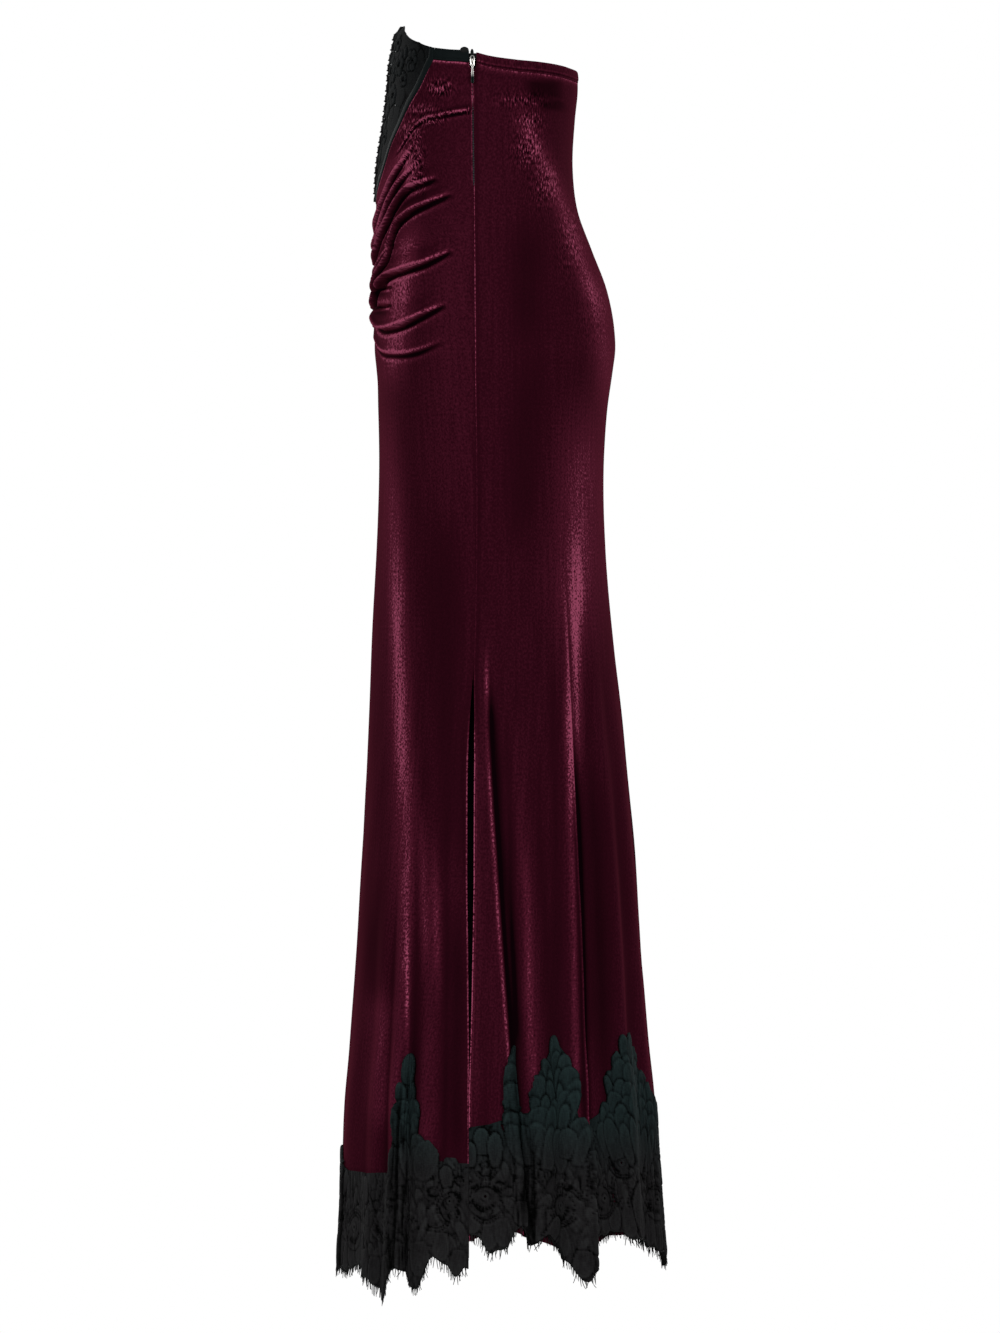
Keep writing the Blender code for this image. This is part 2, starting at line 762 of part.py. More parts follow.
def flat_edge(table):
    return np.stack([to_flat(np.radians(column(table, 0))), column(table, 1)], axis=1)


def refined(line, step):
    """The line with points added, so that none is further than step from the next."""
    points = []
    for start, end in zip(line, line[1:]):
        pieces = max(1, math.ceil(float(np.hypot(*(end - start))) / step))
        points += [start + (end - start) * part / pieces for part in range(pieces)]
    return np.array(points + [line[-1]])


def both_sides(line):
    """A line on the left half and its mirror on the right, from right to left through the centre front."""
    return np.concatenate([(line * (-1, 1))[::-1], line[1:]])


def round_the_back(line):
    """A line on the left half and its mirror, from left to right through the centre back."""
    whole = 2 * to_flat(np.array(CENTRE_BACK))
    other = line * (-1, 1) + (whole, 0)
    return np.concatenate([line, other[::-1][1:]])


def ellipse(centre, radii, turn, sides):
    steps = np.arange(sides) * 2 * math.pi / sides
    flat = np.stack([radii[0] * np.cos(steps), radii[1] * np.sin(steps)], axis=1)
    spin = np.array([[math.cos(turn), math.sin(turn)], [-math.sin(turn), math.cos(turn)]])
    return flat @ spin + centre


def openwork():
    """Every hole on the wearer's left, as loops in flat millimetres."""
    loops = []
    for angle, height, ring, petals in ROSETTES:
        centre = np.array([float(to_flat(np.array(math.radians(angle)))), height])
        loops.append(ellipse(centre, (EYELET, EYELET), 0.3, HOLE_SIDES))
        for index in range(petals):
            turn = 2 * math.pi * (index + 0.5) / petals
            reach = np.array([math.cos(turn), math.sin(turn)]) * (ring - PETAL_LENGTH + 0.6)
            loops.append(ellipse(centre + reach, (PETAL_LENGTH, PETAL_WIDTH), turn, HOLE_SIDES))
    for foot_angle, foot, head_angle, head, bars in LADDERS:
        ends = to_flat(np.radians(np.array([foot_angle, head_angle])))
        for part in np.linspace(0, 1, bars):
            centre = np.array([ends[0] * (1 - part) + ends[1] * part, foot * (1 - part) + head * part])
            size = np.array([BAR_LENGTH * (1 - 0.35 * part), BAR_HEIGHT])
            loops.append(centre + BAR_CORNERS * size / 2)
    return loops


def lace_outline(front):
    """The border's closed outline in flat millimetres, anticlockwise."""
    if front:
        top, edge = both_sides(flat_edge(LACE_FRONT_TOP)), both_sides(flat_edge(LACE_FRONT_EDGE))
    else:
        top, edge = round_the_back(flat_edge(LACE_BACK_TOP)), round_the_back(flat_edge(LACE_BACK_EDGE))
    edge = refined(edge, EDGE_STEP)
    ends = refined(np.array([edge[-1], top[-1]]), TOP_STEP)
    top = refined(top, TOP_STEP)
    starts = refined(np.array([top[0], edge[0]]), TOP_STEP)
    return np.concatenate([edge, ends[1:-1], top[::-1], starts[1:-1]]), edge


def mirror_flat(loop, front):
    if front:
        return (loop * (-1, 1))[::-1]
    whole = 2 * float(to_flat(np.array(CENTRE_BACK)))
    return (loop * (-1, 1) + (whole, 0))[::-1]


def back_to_angle(flat):
    """Angles of flat places, which run on past the centre back to the wearer's right."""
    whole = 2 * float(to_flat(np.array(CENTRE_BACK)))
    return np.where(flat > whole / 2, -to_angle(whole - flat), to_angle(flat))


def lace_holes(front):
    seam = float(to_flat(np.array(SIDE)))
    own = [loop for loop in openwork() if (loop[:, 0].mean() < seam) == front]
    return own + [mirror_flat(loop, front) for loop in own]


def lay_points(flat, height):
    """Base points and normals on the velvet for flat places."""
    angle = back_to_angle(flat)
    return on_panels(angle, height), facing(angle, height)


def ridge_lines(front):
    """Upright lines at the velvet's columns that bend outwards, where the lace has to bend as well."""
    columns = tail_columns()
    corners = form(columns, np.full_like(columns, LACE_BEND_HEIGHT))[:, :2]
    steps = np.diff(corners, axis=0)
    headings = np.unwrap(np.arctan2(steps[:, 1], steps[:, 0]))
    bent = np.concatenate([[False], np.diff(headings) > LACE_BEND, [False]])
    bent[0] = bent[-1] = True
    bent &= (columns < SIDE) == front
    lines = []
    for turn in columns[bent]:
        hem = float(by_angle(VELVET_HEM, turn))
        heights = [KNEE + (hem - KNEE) * part for part in (*LOW_ROWS[4:], LACE_END_ROW)]
        place = float(to_flat(np.array(turn)))
        other = -place if front else 2 * float(to_flat(np.array(CENTRE_BACK))) - place
        for upper, lower in zip(heights, heights[1:]):
            lines += [((at, upper), (at, lower)) for at in {place, other}]
    return lines


def build_lace(name, front, material):
    outline, _ = lace_outline(front)
    holes = lace_holes(front)
    points, faces = fill(outline, holes, np.zeros((0, 2)), ridge_lines(front))
    base, normal = lay_points(points[:, 0], points[:, 1])
    outer = base + normal * (LACE_LIFT + LACE_WALL)
    return close_wall(name, outer, base + normal * LACE_LIFT, faces, material)


def fringe_places(edge):
    """Ends of the strip's pieces under the lace's edge: a strand's root at each point, then a gap."""
    steps = np.diff(edge, axis=0)
    lengths = np.hypot(steps[:, 0], steps[:, 1])[:, None]
    root_ends = edge[:-1] + steps * np.minimum(STRAND_ROOT / lengths, 0.5)
    places = np.concatenate([np.stack([edge[:-1], root_ends], axis=1).reshape(-1, 2), edge[-1:]])
    places[0] += steps[0] / lengths[0] * STRIP_END_GAP
    places[-1] -= steps[-1] / lengths[-1] * STRIP_END_GAP
    return places[:, 0], places[:, 1]


def build_fringe(name, front, material):
    """A strip of three-cornered section under the lace's edge, with a pyramid of thread at each root."""
    _, edge = lace_outline(front)
    flat, height = fringe_places(edge)
    height = height - FRINGE_DROP
    lift = LACE_LIFT + FRINGE_LIFT
    base, normal = lay_points(flat, height)
    low_base, low_normal = lay_points(flat, height - FRINGE_STRIP)
    top = base + normal * (lift + LACE_WALL / 2)
    outer = low_base + low_normal * (lift + LACE_WALL)
    inner = low_base + low_normal * lift
    count = len(flat)
    roots = list(range(0, count - 1, 2))
    middles = (flat[:-1:2] + flat[1::2]) / 2
    lengths = np.array([STRAND_LENGTHS[i % len(STRAND_LENGTHS)] for i in range(len(roots))])
    tips_height = (height[:-1:2] + height[1::2]) / 2 - FRINGE_STRIP - lengths
    tip_base, tip_normal = lay_points(middles, tips_height)
    tips = tip_base + tip_normal * (lift + LACE_WALL / 2)
    faces = []
    for i in range(count - 1):
        t, o, n = i, i + count, i + 2 * count
        faces += [(o, o + 1, t + 1, t), (n + 1, n, t, t + 1)]
        if i in roots:
            tip = 3 * count + roots.index(i)
            faces += [(o + 1, o, tip), (n, n + 1, tip), (o, n, tip), (n + 1, o + 1, tip)]
        else:
            faces.append((o + 1, o, n, n + 1))
    last = count - 1
    faces += [(0, 2 * count, count), (last, last + count, last + 2 * count)]
    return add_mesh(name, np.concatenate([top, outer, inner, tips]), faces, material)


def build_zip_tape(name, material):
    """The tape behind the left side seam, a hair inside the velvet."""
    heights = np.concatenate([[WAIST_EDGE[8][1] + TAPE_RISE], np.linspace(-2.7, ZIP_END - TAPE_BELOW, TAPE_ROWS)])
    across = np.array([-TAPE_HALF, 0.0, TAPE_HALF])
    scale = millimetres_round(SIDE, heights)
    angle = SIDE + (across[:, None] / scale[None, :])
    height = np.tile(heights, (3, 1))
    count = len(heights)
    faces = []
    for row in range(2):
        start = row * count
        faces += [(start + i, start + i + 1, start + i + 1 + count, start + i + count) for i in range(count - 1)]
    lift = -VELVET_WALL - TAPE_DEPTH
    return cloth(name, angle.ravel(), height.ravel(), faces, TAPE_WALL, material, lift=lift)


def box_faces(low, high):
    """The corners and faces of a box."""
    x, y, z = zip(low, high)
    points = [(a, b, c) for a in x for b in y for c in z]
    faces = [(0, 1, 3, 2), (4, 6, 7, 5), (0, 4, 5, 1), (2, 3, 7, 6), (0, 2, 6, 4), (1, 5, 7, 3)]
    return points, faces


def slider_frame():
    """Where the slider sits on the side seam, and how the cloth leans there."""
    height = np.array([SLIDER_HEIGHT])
    point = form(np.array([SIDE]), height)[0]
    below = form(np.array([SIDE]), height - PULL_LENGTH)[0]
    lean = math.atan2(below[0] - point[0], PULL_LENGTH)
    return point, lean


def place_on_seam(body):
    point, lean = slider_frame()
    body.location = Vector(point) * MM
    body.rotation_euler = (0.0, -lean, 0.0)


def crown_faces(top):
    """The crown: a bridge along the zip, standing on the plate's top with a gap under its strap."""
    foot = top - CROWN_SINK
    strap = top + CROWN_GAP
    outside = strap + CROWN_STRAP
    inner, outer = CROWN_INNER / 2, CROWN_INNER / 2 + CROWN_STRAP
    arch = [(foot, -outer), (strap, -outer), (outside, -inner), (outside, inner), (strap, outer), (foot, outer)]
    arch += [(foot, inner), (strap, inner), (strap, -inner), (foot, -inner)]
    count = len(arch)
    points = [(x, y, z) for y in (-CROWN_WIDTH / 2, CROWN_WIDTH / 2) for x, z in arch]
    sides = [(i + count, (i + 1) % count + count, (i + 1) % count, i) for i in range(count)]
    cap = [(1, 8, 9, 0), (1, 2, 8), (2, 3, 7, 8), (3, 4, 7), (4, 5, 6, 7)]
    return points, sides + cap + [tuple(index + count for index in reversed(face)) for face in cap]


def build_slider(name, material):
    """The slider's rounded plate, joined with its crown, which holds the pull."""
    top = SEAT_GAP + SLIDER_PLATE
    half_width, half_length = SLIDER_WIDTH / 2, SLIDER_LENGTH / 2
    box = box_faces((SEAT_GAP, -half_width, -half_length), (top, half_width, half_length))
    plate = add_mesh(name, *box, material)
    bevel = plate.modifiers.new("rounded", "BEVEL")
    bevel.width = SLIDER_ROUND * MM
    bevel.segments = 2
    crown = add_mesh(name + "_crown", *crown_faces(top), material)
    crown.hide_render = True
    crown.display_type = "WIRE"
    join = plate.modifiers.new("crown", "BOOLEAN")
    join.operation = "UNION"
    join.object = crown
    for body in (plate, crown):
        place_on_seam(body)


def build_pull(name, material):
    """The pull tab: a flat drop with an eye at its top, whose bar lies in the crown, on the hinge's axis."""
    bar = PULL_THICKNESS / 2
    eye_half = CROWN_WIDTH / 2 + EYE_GAP
    shoulder = -PULL_EYE - 1.0
    tip = PULL_TIP_WIDTH / 2
    turns = [math.pi * step / TIP_SIDES for step in range(TIP_SIDES + 1)]
    outline = [(PULL_WIDTH / 2, bar), (PULL_WIDTH / 2, shoulder)]
    outline += [(tip * math.cos(turn), tip - PULL_LENGTH - tip * math.sin(turn)) for turn in turns]
    outline += [(-PULL_WIDTH / 2, shoulder), (-PULL_WIDTH / 2, bar)]
    eye = [(eye_half, -bar), (eye_half, -PULL_EYE), (-eye_half, -PULL_EYE), (-eye_half, -bar)]
    points, faces = fill(np.array(outline), [np.array(eye)], np.zeros((0, 2)))
    front = np.stack([np.full(len(points), bar), points[:, 0], points[:, 1]], axis=1)
    body = close_wall(name, front, front * (-1, 1, 1), faces, material)
    hinge = bpy.data.objects.new(name + "_hinge", None)
    bpy.context.collection.objects.link(hinge)
    point, lean = slider_frame()
    out = SEAT_GAP + SLIDER_PLATE + CROWN_GAP / 2
    hinge.location = Vector(point + np.array([math.cos(lean), 0.0, math.sin(lean)]) * out) * MM
    hinge.rotation_euler = (0.0, -lean, 0.0)
    body.parent = hinge


def main():
    for body in list(bpy.data.objects):
        bpy.data.objects.remove(body)
    velvet = make_material("wine_velvet", (0.09, 0.008, 0.02), 0.6)
    satin = make_material("black_satin", (0.012, 0.014, 0.015), 0.4)
    lace = make_material("black_lace", (0.012, 0.014, 0.014), 0.7)
    tape = make_material("zip_tape", (0.01, 0.01, 0.01), 0.8)
    metal = make_material("zip_metal", (0.7, 0.7, 0.72), 0.25, 1.0)
    for side, word in ((1, "left"), (-1, "right")):
        build_panel("front_" + word, front_rows(), side, velvet)
        build_panel("back_" + word, back_rows(), side, velvet)
        build_binding("yoke_binding_" + word, side, satin)
        zip_room = ZIP_OPENING / 2 if side > 0 else 0.0
        angles = [side * angle for angle in FRONT_HIGH_ANGLES if angle >= YOKE_EDGE[-1][0]]
        build_band("waistband_front_" + word, angles, satin, zip_room)
        angles = [side * angle for angle in BACK_HIGH_ANGLES]
        build_band("waistband_back_" + word, angles, velvet, zip_room)
    build_yoke("yoke", satin)
    build_braid("yoke_braid", lace)
    build_lace("lace_front", True, lace)
    build_lace("lace_back", False, lace)
    build_fringe("fringe_front", True, lace)
    build_fringe("fringe_back", False, lace)
    build_zip_tape("zip_tape", tape)
    build_slider("zip_slider", metal)
    build_pull("zip_pull", metal)


main()
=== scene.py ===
"""Looks of a wine velvet fishtail skirt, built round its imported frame.

The wearer faces -Y, the wearer's left is +X, +Z is up and the origin is the centre of the waist opening.
Lengths are millimetres here and become metres where a mesh is made. A place on the cloth is given by its
turn round the body, in radians (0 centre front, pi/2 the left side seam, pi centre back, negative on the
wearer's right), and by its height.
"""

from __future__ import annotations

import logging
import math
from collections.abc import Iterator, Sequence
from dataclasses import dataclass, field
from enum import Enum
from typing import TypeVar

import bpy
import numpy as np
from numpy.typing import NDArray
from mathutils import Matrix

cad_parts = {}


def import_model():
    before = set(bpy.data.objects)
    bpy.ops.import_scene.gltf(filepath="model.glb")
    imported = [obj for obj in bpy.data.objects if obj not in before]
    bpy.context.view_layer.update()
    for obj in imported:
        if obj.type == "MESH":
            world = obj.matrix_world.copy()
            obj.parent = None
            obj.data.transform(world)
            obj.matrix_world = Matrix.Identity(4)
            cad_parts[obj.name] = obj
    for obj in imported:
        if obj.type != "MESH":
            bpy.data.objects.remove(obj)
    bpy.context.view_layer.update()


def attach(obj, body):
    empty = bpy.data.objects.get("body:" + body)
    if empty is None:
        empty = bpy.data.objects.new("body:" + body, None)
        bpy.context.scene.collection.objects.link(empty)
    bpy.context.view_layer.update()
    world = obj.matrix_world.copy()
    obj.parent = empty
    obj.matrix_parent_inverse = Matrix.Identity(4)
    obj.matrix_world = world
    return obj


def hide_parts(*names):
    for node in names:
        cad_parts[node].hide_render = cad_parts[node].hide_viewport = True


Floats = NDArray[np.float64]
Ints = NDArray[np.int64]
Mask = NDArray[np.bool_]
Choice = TypeVar("Choice")
Place = tuple[float, float]
Cell = tuple[float, float, float]
Body = bpy.types.Object
Material = bpy.types.Material
Socket = bpy.types.NodeSocket
Inputs = dict[str | int, object]

log = logging.getLogger("fishtail_skirt")

MM = 0.001
SIDE_SEAM = math.pi / 2
CENTRE_BACK = math.pi
SEAM_GAP = 0.3


class Side(Enum):
    """Which side of the wearer a piece is on."""

    LEFT = 1
    RIGHT = -1

    @property
    def word(self) -> str:
        """The side as it is written in a node's name."""
        return self.name.lower()


class Half(Enum):
    """The front or the back of the skirt."""

    FRONT = "front"
    BACK = "back"

    def pick(self, front: Choice, back: Choice) -> Choice:
        """The first value for the front and the second for the back."""
        return front if self is Half.FRONT else back


# ---------------------------------------------------------------------------------------------- shapes


@dataclass(frozen=True)
class Line:
    """A value that changes from place to place, given at a few places."""

    places: tuple[float, ...]
    values: tuple[float, ...]

    @staticmethod
    def of(*pairs: tuple[float, float]) -> Line:
        """A line through (place, value) pairs, in rising order of place."""
        return Line(tuple(p for p, _ in pairs), tuple(v for _, v in pairs))

    def smooth(self, at: Floats | float) -> Floats:
        """Cubic Hermite pieces whose slope at each place is the mean slope round it.

        Args:
            at: Places, of any shape.

        Returns:
            The values there.
        """
        places, values = np.array(self.places), np.array(self.values)
        slopes = np.gradient(values, places)
        at = np.clip(at, places[0], places[-1])
        left = np.clip(np.searchsorted(places, at) - 1, 0, len(places) - 2)
        span = places[left + 1] - places[left]
        part = (at - places[left]) / span
        rise = part * part * (3 - 2 * part)
        bends = slopes[left] * span * part * (1 - part) ** 2
        bends = bends + slopes[left + 1] * span * part * part * (part - 1)
        return values[left] * (1 - rise) + values[left + 1] * rise + bends

    def straight(self, at: Floats | float) -> Floats:
        """Straight stretches between the places."""
        return np.interp(at, self.places, self.values)

    def around(self, turn: Floats) -> Floats:
        """Straight stretches over a turn in radians, whose places are degrees, the same left and right."""
        return self.straight(np.degrees(np.abs(turn)))

    def curved_around(self, turn: Floats) -> Floats:
        """As around, but through smooth pieces."""
        return self.smooth(np.degrees(np.abs(turn)))


def ease(low: float, high: float, at: Floats) -> Floats:
    """0 at low, 1 at high, and 3t^2 - 2t^3 of the part t between them, whichever is the greater."""
    part = np.clip((at - low) / (high - low), 0, 1)
    return part * part * (3 - 2 * part)


def bump(at: Floats, centre: float, width: float) -> Floats:
    """A bell: e to the minus square of the distance from centre in widths."""
    return np.exp(-(((at - centre) / width) ** 2))


def ripples(u: Floats, v: Floats, wave: tuple[float, float], lean: tuple[float, float], seed: int) -> Floats:
    """Uneven waves of about unit height: a sum of cosines of random length, heading and phase.

    Args:
        u: Place across, mm.
        v: Place along, mm.
        wave: Shortest and longest wavelength, mm.
        lean: Lowest and highest heading of a wave's travel, radians from the u direction.
        seed: Seed of the random draws.

    Returns:
        The waves' height at each place, mostly from -1 to 1.
    """
    rng = np.random.default_rng(seed)
    total = np.zeros(np.broadcast(u, v).shape)
    count = 9
    lengths, headings = rng.uniform(*wave, count), rng.uniform(*lean, count)
    for length, heading, phase in zip(lengths, headings, rng.uniform(0, 6.28, count)):
        total = total + np.cos(2 * math.pi * (u * math.cos(heading) + v * math.sin(heading)) / length + phase)
    return total / math.sqrt(count) / 1.2


@dataclass(frozen=True)
class Fold:
    """A ruched fold of the front: a ridge rising from the front to the side with a tucked-under lower side.

    The line gives its height against the turn in degrees. It fades in at start and out at end.
    """

    line: Line
    ridge: float
    end: float
    width: float
    start: float = -30.0
    beads: float = 0.0


@dataclass(frozen=True)
class Flute:
    """A rounded upright ridge of the tail."""

    knee_crest: float
    hem_crest: float
    ridge: float
    ahead: float
    behind: float
    start: float
    crisp: float = 0.0


@dataclass(frozen=True)
class BodyForm:
    """The skirt's shared form: an oval at each height, pushed out by folds and flutes."""

    front: Line
    back: Line
    half_width: Line
    seam: Line
    folds: tuple[Fold, ...]
    flutes: tuple[Flute, ...]
    knee: float = -560.0
    hem: float = -1043.0
    yoke_inset: float = 2.0
    fold_at_front: float = 0.4
    fold_full: float = 16.0
    undercut: float = 1.4
    hollow: float = 0.55
    flute_growth: float = 0.95
    most_growth: float = 1.1

    def depth(self, turn: Floats, height: Floats) -> Floats:
        """Half the oval's depth on the front or the back side of the seam.

        Args:
            turn: Turns round the body, radians.
            height: Heights, mm.

        Returns:
            The depth, mm.
        """
        seam = self.seam.smooth(height)
        ahead, behind = seam - self.front.smooth(height), self.back.smooth(height) - seam
        return np.where(np.abs(turn) < SIDE_SEAM, ahead, behind)

    def ruching(self, turn: Floats, height: Floats) -> Floats:
        """Each fold's push: a bell above its ridge line, a steep drop and a hollow below it.

        Args:
            turn: Turns round the body, radians.
            height: Heights, mm.

        Returns:
            How far the folds push the form out, mm.
        """
        degrees = np.degrees(np.abs(turn))
        push = np.zeros(np.broadcast(turn, height).shape)
        for fold in self.folds:
            above = height - fold.line.smooth(degrees)
            swell = self.fold_at_front + (1 - self.fold_at_front) * ease(0, self.fold_full, degrees)
            fade = (1 - ease(fold.end * 0.66, fold.end, degrees)) * ease(fold.start, fold.start + 12, degrees)
            fade = fade * (1 - ease(90, 92, degrees)) * (1 + fold.beads * np.cos(degrees * 3.6))
            drop = min(self.undercut, fold.width * 0.5)
            body = np.where(above > 0, bump(above, 0, fold.width), bump(above, 0, drop))
            crest = np.where(above > 0, bump(above, 0, fold.width * 0.34), bump(above, 0, drop * 0.8))
            below = bump(above, -drop * 2.6, drop * 1.8)
            hollow = self.hollow * (fold.ridge > 0)
            push = push + fold.ridge * swell * fade * (0.74 * body + 0.3 * crest - hollow * below)
        return push

    def fluting(self, turn: Floats, height: Floats) -> Floats:
        """Each flute's push: a squared cosine round its crest that grows from its start to the hem.

        Args:
            turn: Turns round the body, radians.
            height: Heights, mm.

        Returns:
            How far the flutes push the form out, mm.
        """
        degrees = np.degrees(np.abs(turn))
        part = (self.knee - height) / (self.knee - self.hem)
        push = np.zeros(np.broadcast(turn, height).shape)
        for flute in self.flutes:
            away = degrees - (flute.knee_crest * (1 - part) + flute.hem_crest * part)
            spread = np.where(away < 0, flute.ahead, flute.behind)
            shape = np.cos(np.clip(np.abs(away) / spread, 0, 1) * math.pi / 2) ** 2
            drop = np.clip(1 - away / (flute.behind * 0.42), 0, 1) ** 1.5
            valley = 0.22 * bump(away, flute.behind * 0.55, flute.behind * 0.3)
            steep = np.where(away < 0, shape, drop - valley)
            shape = shape + flute.crisp * (steep - shape)
            growth = np.clip((flute.start - height) / (flute.start - self.hem), 0, self.most_growth)
            push = push + flute.ridge * growth**self.flute_growth * shape
        return push

    def place(self, turn: Floats, height: Floats, lift: Floats | float = 0.0) -> Floats:
        """Points on the form: the oval's point moved along the oval's outward normal.

        Args:
            turn: Turns round the body, radians.
            height: Heights, mm, of a shape that broadcasts with turn.
            lift: How far the points stand off the form, mm.

        Returns:
            Points, mm, with a last axis of three.
        """
        turn, height = np.broadcast_arrays(turn, height)
        depth, half, seam = self.depth(turn, height), self.half_width.smooth(height), self.seam.smooth(height)
        out_x, out_y = np.sin(turn) * depth, -np.cos(turn) * half
        length = np.hypot(out_x, out_y)
        inset = self.yoke_inset * bump(np.degrees(np.abs(turn)), 0, 22) * ease(-275, -245, height)
        push = self.ruching(turn, height) + self.fluting(turn, height) - inset + lift
        x = half * np.sin(turn) + push * out_x / length
        y = seam - depth * np.cos(turn) + push * out_y / length
        return np.stack([x, y, height], axis=-1)

    def facing(self, turn: Floats, height: Floats) -> Floats:
        """Outward unit normals, from points a little to each side.

        Args:
            turn: Turns round the body, radians.
            height: Heights, mm.

        Returns:
            The normals, with a last axis of three.
        """
        small_turn, small_rise = 0.006, 0.9
        along = self.place(turn + small_turn, height) - self.place(turn - small_turn, height)
        up = self.place(turn, height + small_rise) - self.place(turn, height - small_rise)
        return unit(np.cross(along, up))

    def millimetres_round(self, turn: Floats, height: Floats) -> Floats:
        """How many millimetres one radian is along the oval."""
        across = self.half_width.smooth(height) * np.cos(turn)
        return np.hypot(across, self.depth(turn, height) * np.sin(turn))


SECTIONS = (
    # height, front, back, half_width, seam
    (-1140.0, -130.0, 160.0, 252.0, -14.0),
    (-1043.0, -127.5, 154.5, 240.0, -14.0),
    (-999.0, -125.5, 152.0, 229.0, -14.0),
    (-955.0, -124.5, 149.5, 218.0, -14.0),
    (-911.0, -122.5, 147.5, 207.0, -14.0),
    (-867.0, -118.5, 143.0, 197.0, -13.5),
    (-780.0, -112.4, 137.0, 178.0, -13.2),
    (-692.0, -107.0, 130.8, 163.0, -13.2),
    (-604.0, -102.7, 122.5, 154.5, -12.5),
    (-516.0, -99.2, 113.3, 153.0, -9.5),
    (-428.0, -94.8, 106.2, 158.0, -8.0),
    (-341.0, -92.2, 104.5, 165.0, -8.0),
    (-305.0, -93.1, 107.1, 168.0, -8.4),
    (-270.0, -95.0, 112.4, 169.0, -8.8),
    (-253.0, -98.0, 114.8, 169.0, -8.8),
    (-235.0, -98.6, 114.3, 168.0, -9.0),
    (-200.0, -98.6, 108.0, 165.0, -9.2),
    (-165.0, -98.2, 94.8, 160.0, -9.5),
    (-130.0, -97.4, 82.0, 154.0, -9.8),
    (-95.0, -96.0, 77.3, 147.0, -10.1),
    (-51.0, -89.6, 79.0, 135.0, -10.5),
    (-25.0, -86.5, 81.5, 126.0, -10.7),
    (0.0, -84.3, 80.5, 118.5, -11.0),
    (15.0, -81.2, 79.5, 116.0, -11.0),
    (23.0, -79.6, 79.0, 115.5, -11.0),
    (32.0, -72.9, 79.0, 115.5, -11.0),
)


def section_line(column: int) -> Line:
    """One column of SECTIONS over its heights."""
    return Line.of(*((row[0], row[column]) for row in SECTIONS))


FORM = BodyForm(
    front=section_line(1),
    back=section_line(2),
    half_width=section_line(3),
    seam=section_line(4),
    folds=(
        Fold(
            Line.of((38, -80), (43, -71), (48, -61), (58, -51), (68, -48.3), (78, -45.7), (90, -43)),
            ridge=1.4, end=140, width=1.8, start=34, beads=0.3,
        ),  # fmt: skip
        Fold(
            Line.of((0, -150), (17, -136), (28, -117), (38, -98), (47, -82), (56, -64), (63, -55)),
            ridge=4.6, end=54, width=8.0,
        ),  # fmt: skip
        Fold(
            Line.of((0, -168), (18, -154), (27, -133), (37, -114), (48, -98), (52, -93)),
            ridge=4.4, end=56, width=6.0,
        ),  # fmt: skip
        Fold(
            Line.of(
                (0, -178), (18, -161), (23, -152), (32, -139), (39, -126), (49, -112), (58, -107), (67, -103)
            ),
            ridge=5.6, end=72, width=6.5,
        ),  # fmt: skip
        Fold(
            Line.of((0, -192), (20, -178), (37, -159)),
            ridge=3.6, end=40, width=5.0,
        ),  # fmt: skip
        Fold(
            Line.of(
                (0, -204), (19, -190), (24, -183), (32, -171), (40, -145), (49, -134), (62, -125), (76, -117)
            ),
            ridge=6.0, end=81, width=6.0,
        ),  # fmt: skip
        Fold(
            Line.of((0, -202), (30, -199)),
            ridge=-6.0, end=37, width=2.6, start=8,
        ),  # fmt: skip
        Fold(
            Line.of((0, -216), (15, -206), (20, -197), (30, -189), (47, -182.5), (62, -176.5), (76, -167)),
            ridge=6.4, end=81, width=7.5,
        ),  # fmt: skip
        Fold(
            Line.of((0, -218), (30, -215)),
            ridge=-6.0, end=37, width=3.0, start=8,
        ),  # fmt: skip
        Fold(
            Line.of((0, -222), (13, -226), (20, -232), (36, -233.5), (49, -229), (62, -221), (72, -214)),
            ridge=6.2, end=77, width=9.0,
        ),  # fmt: skip
        Fold(
            Line.of((0, -240), (13, -245), (22, -253), (36, -256), (55, -254), (72, -245)),
            ridge=1.9, end=76, width=9.0,
        ),  # fmt: skip
    ),
    flutes=(
        # crest at the knee and at the hem, ridge, spread ahead and behind, start, crispness
        Flute(22, 22, 5, 15, 13, -600),
        Flute(42, 43, 5, 9, 7, -640),
        Flute(55, 57, 9, 8, 6.5, -600),
        Flute(70, 71, 8, 8, 9, -560),
        Flute(95.4, 106, 8.5, 12, 3.6, -520, 0.9),
        Flute(108, 111.5, 12, 5.5, 8.5, -560),
        Flute(130.4, 125.8, 14, 9, 5.5, -430, 0.85),
        Flute(148, 145, 12, 9, 8, -500),
        Flute(165, 163, 9, 9, 9, -540),
    ),
)

# Edges of the pieces: heights against turns in degrees.
WAIST_EDGE = Line.of(
    (0, 31.6), (10, 31), (20, 28.2), (27, 25.4), (32, 22.8), (37, 19.9), (45, 16.7), (52, 14), (61, 11.4),
    (72, 9.7), (90, 7.6), (99, 4), (113, 0.9), (130, -1.2), (145, -3.5), (163, -7), (180, -9),
)  # fmt: skip
VELVET_HEM = Line.of(
    (0, -1052), (60, -1050), (80, -1041), (90, -1032), (100, -1020), (110, -1032), (119, -1040), (128, -1040),
    (136, -1028), (150, -1027), (180, -1028),
)  # fmt: skip
YOKE_EDGE = Line.of(
    (0, -125.6), (11.6, -112.4), (25.5, -88.7), (29.9, -73.8), (36.6, -58), (44.3, -39.5),
    (52, -24.6), (62.3, 0),
)  # fmt: skip
YOKE_END = math.radians(62.3)
# The yoke's motifs and beads are laid out flat, with this many mm to a radian.
YOKE_RADIUS = 112.0
BAND_DEPTH = 10.0
ZIP_END = -110.0
# Width of the opening along the zip, against height.
ZIP_GAP = Line.of(
    (-112, 0.3), (-106, 1.5), (-46, 1.5), (-40, 0.5), (-20, 0.5), (-8, 2.4), (-5.5, 6.6), (2, 7.2), (12, 7.2)
)


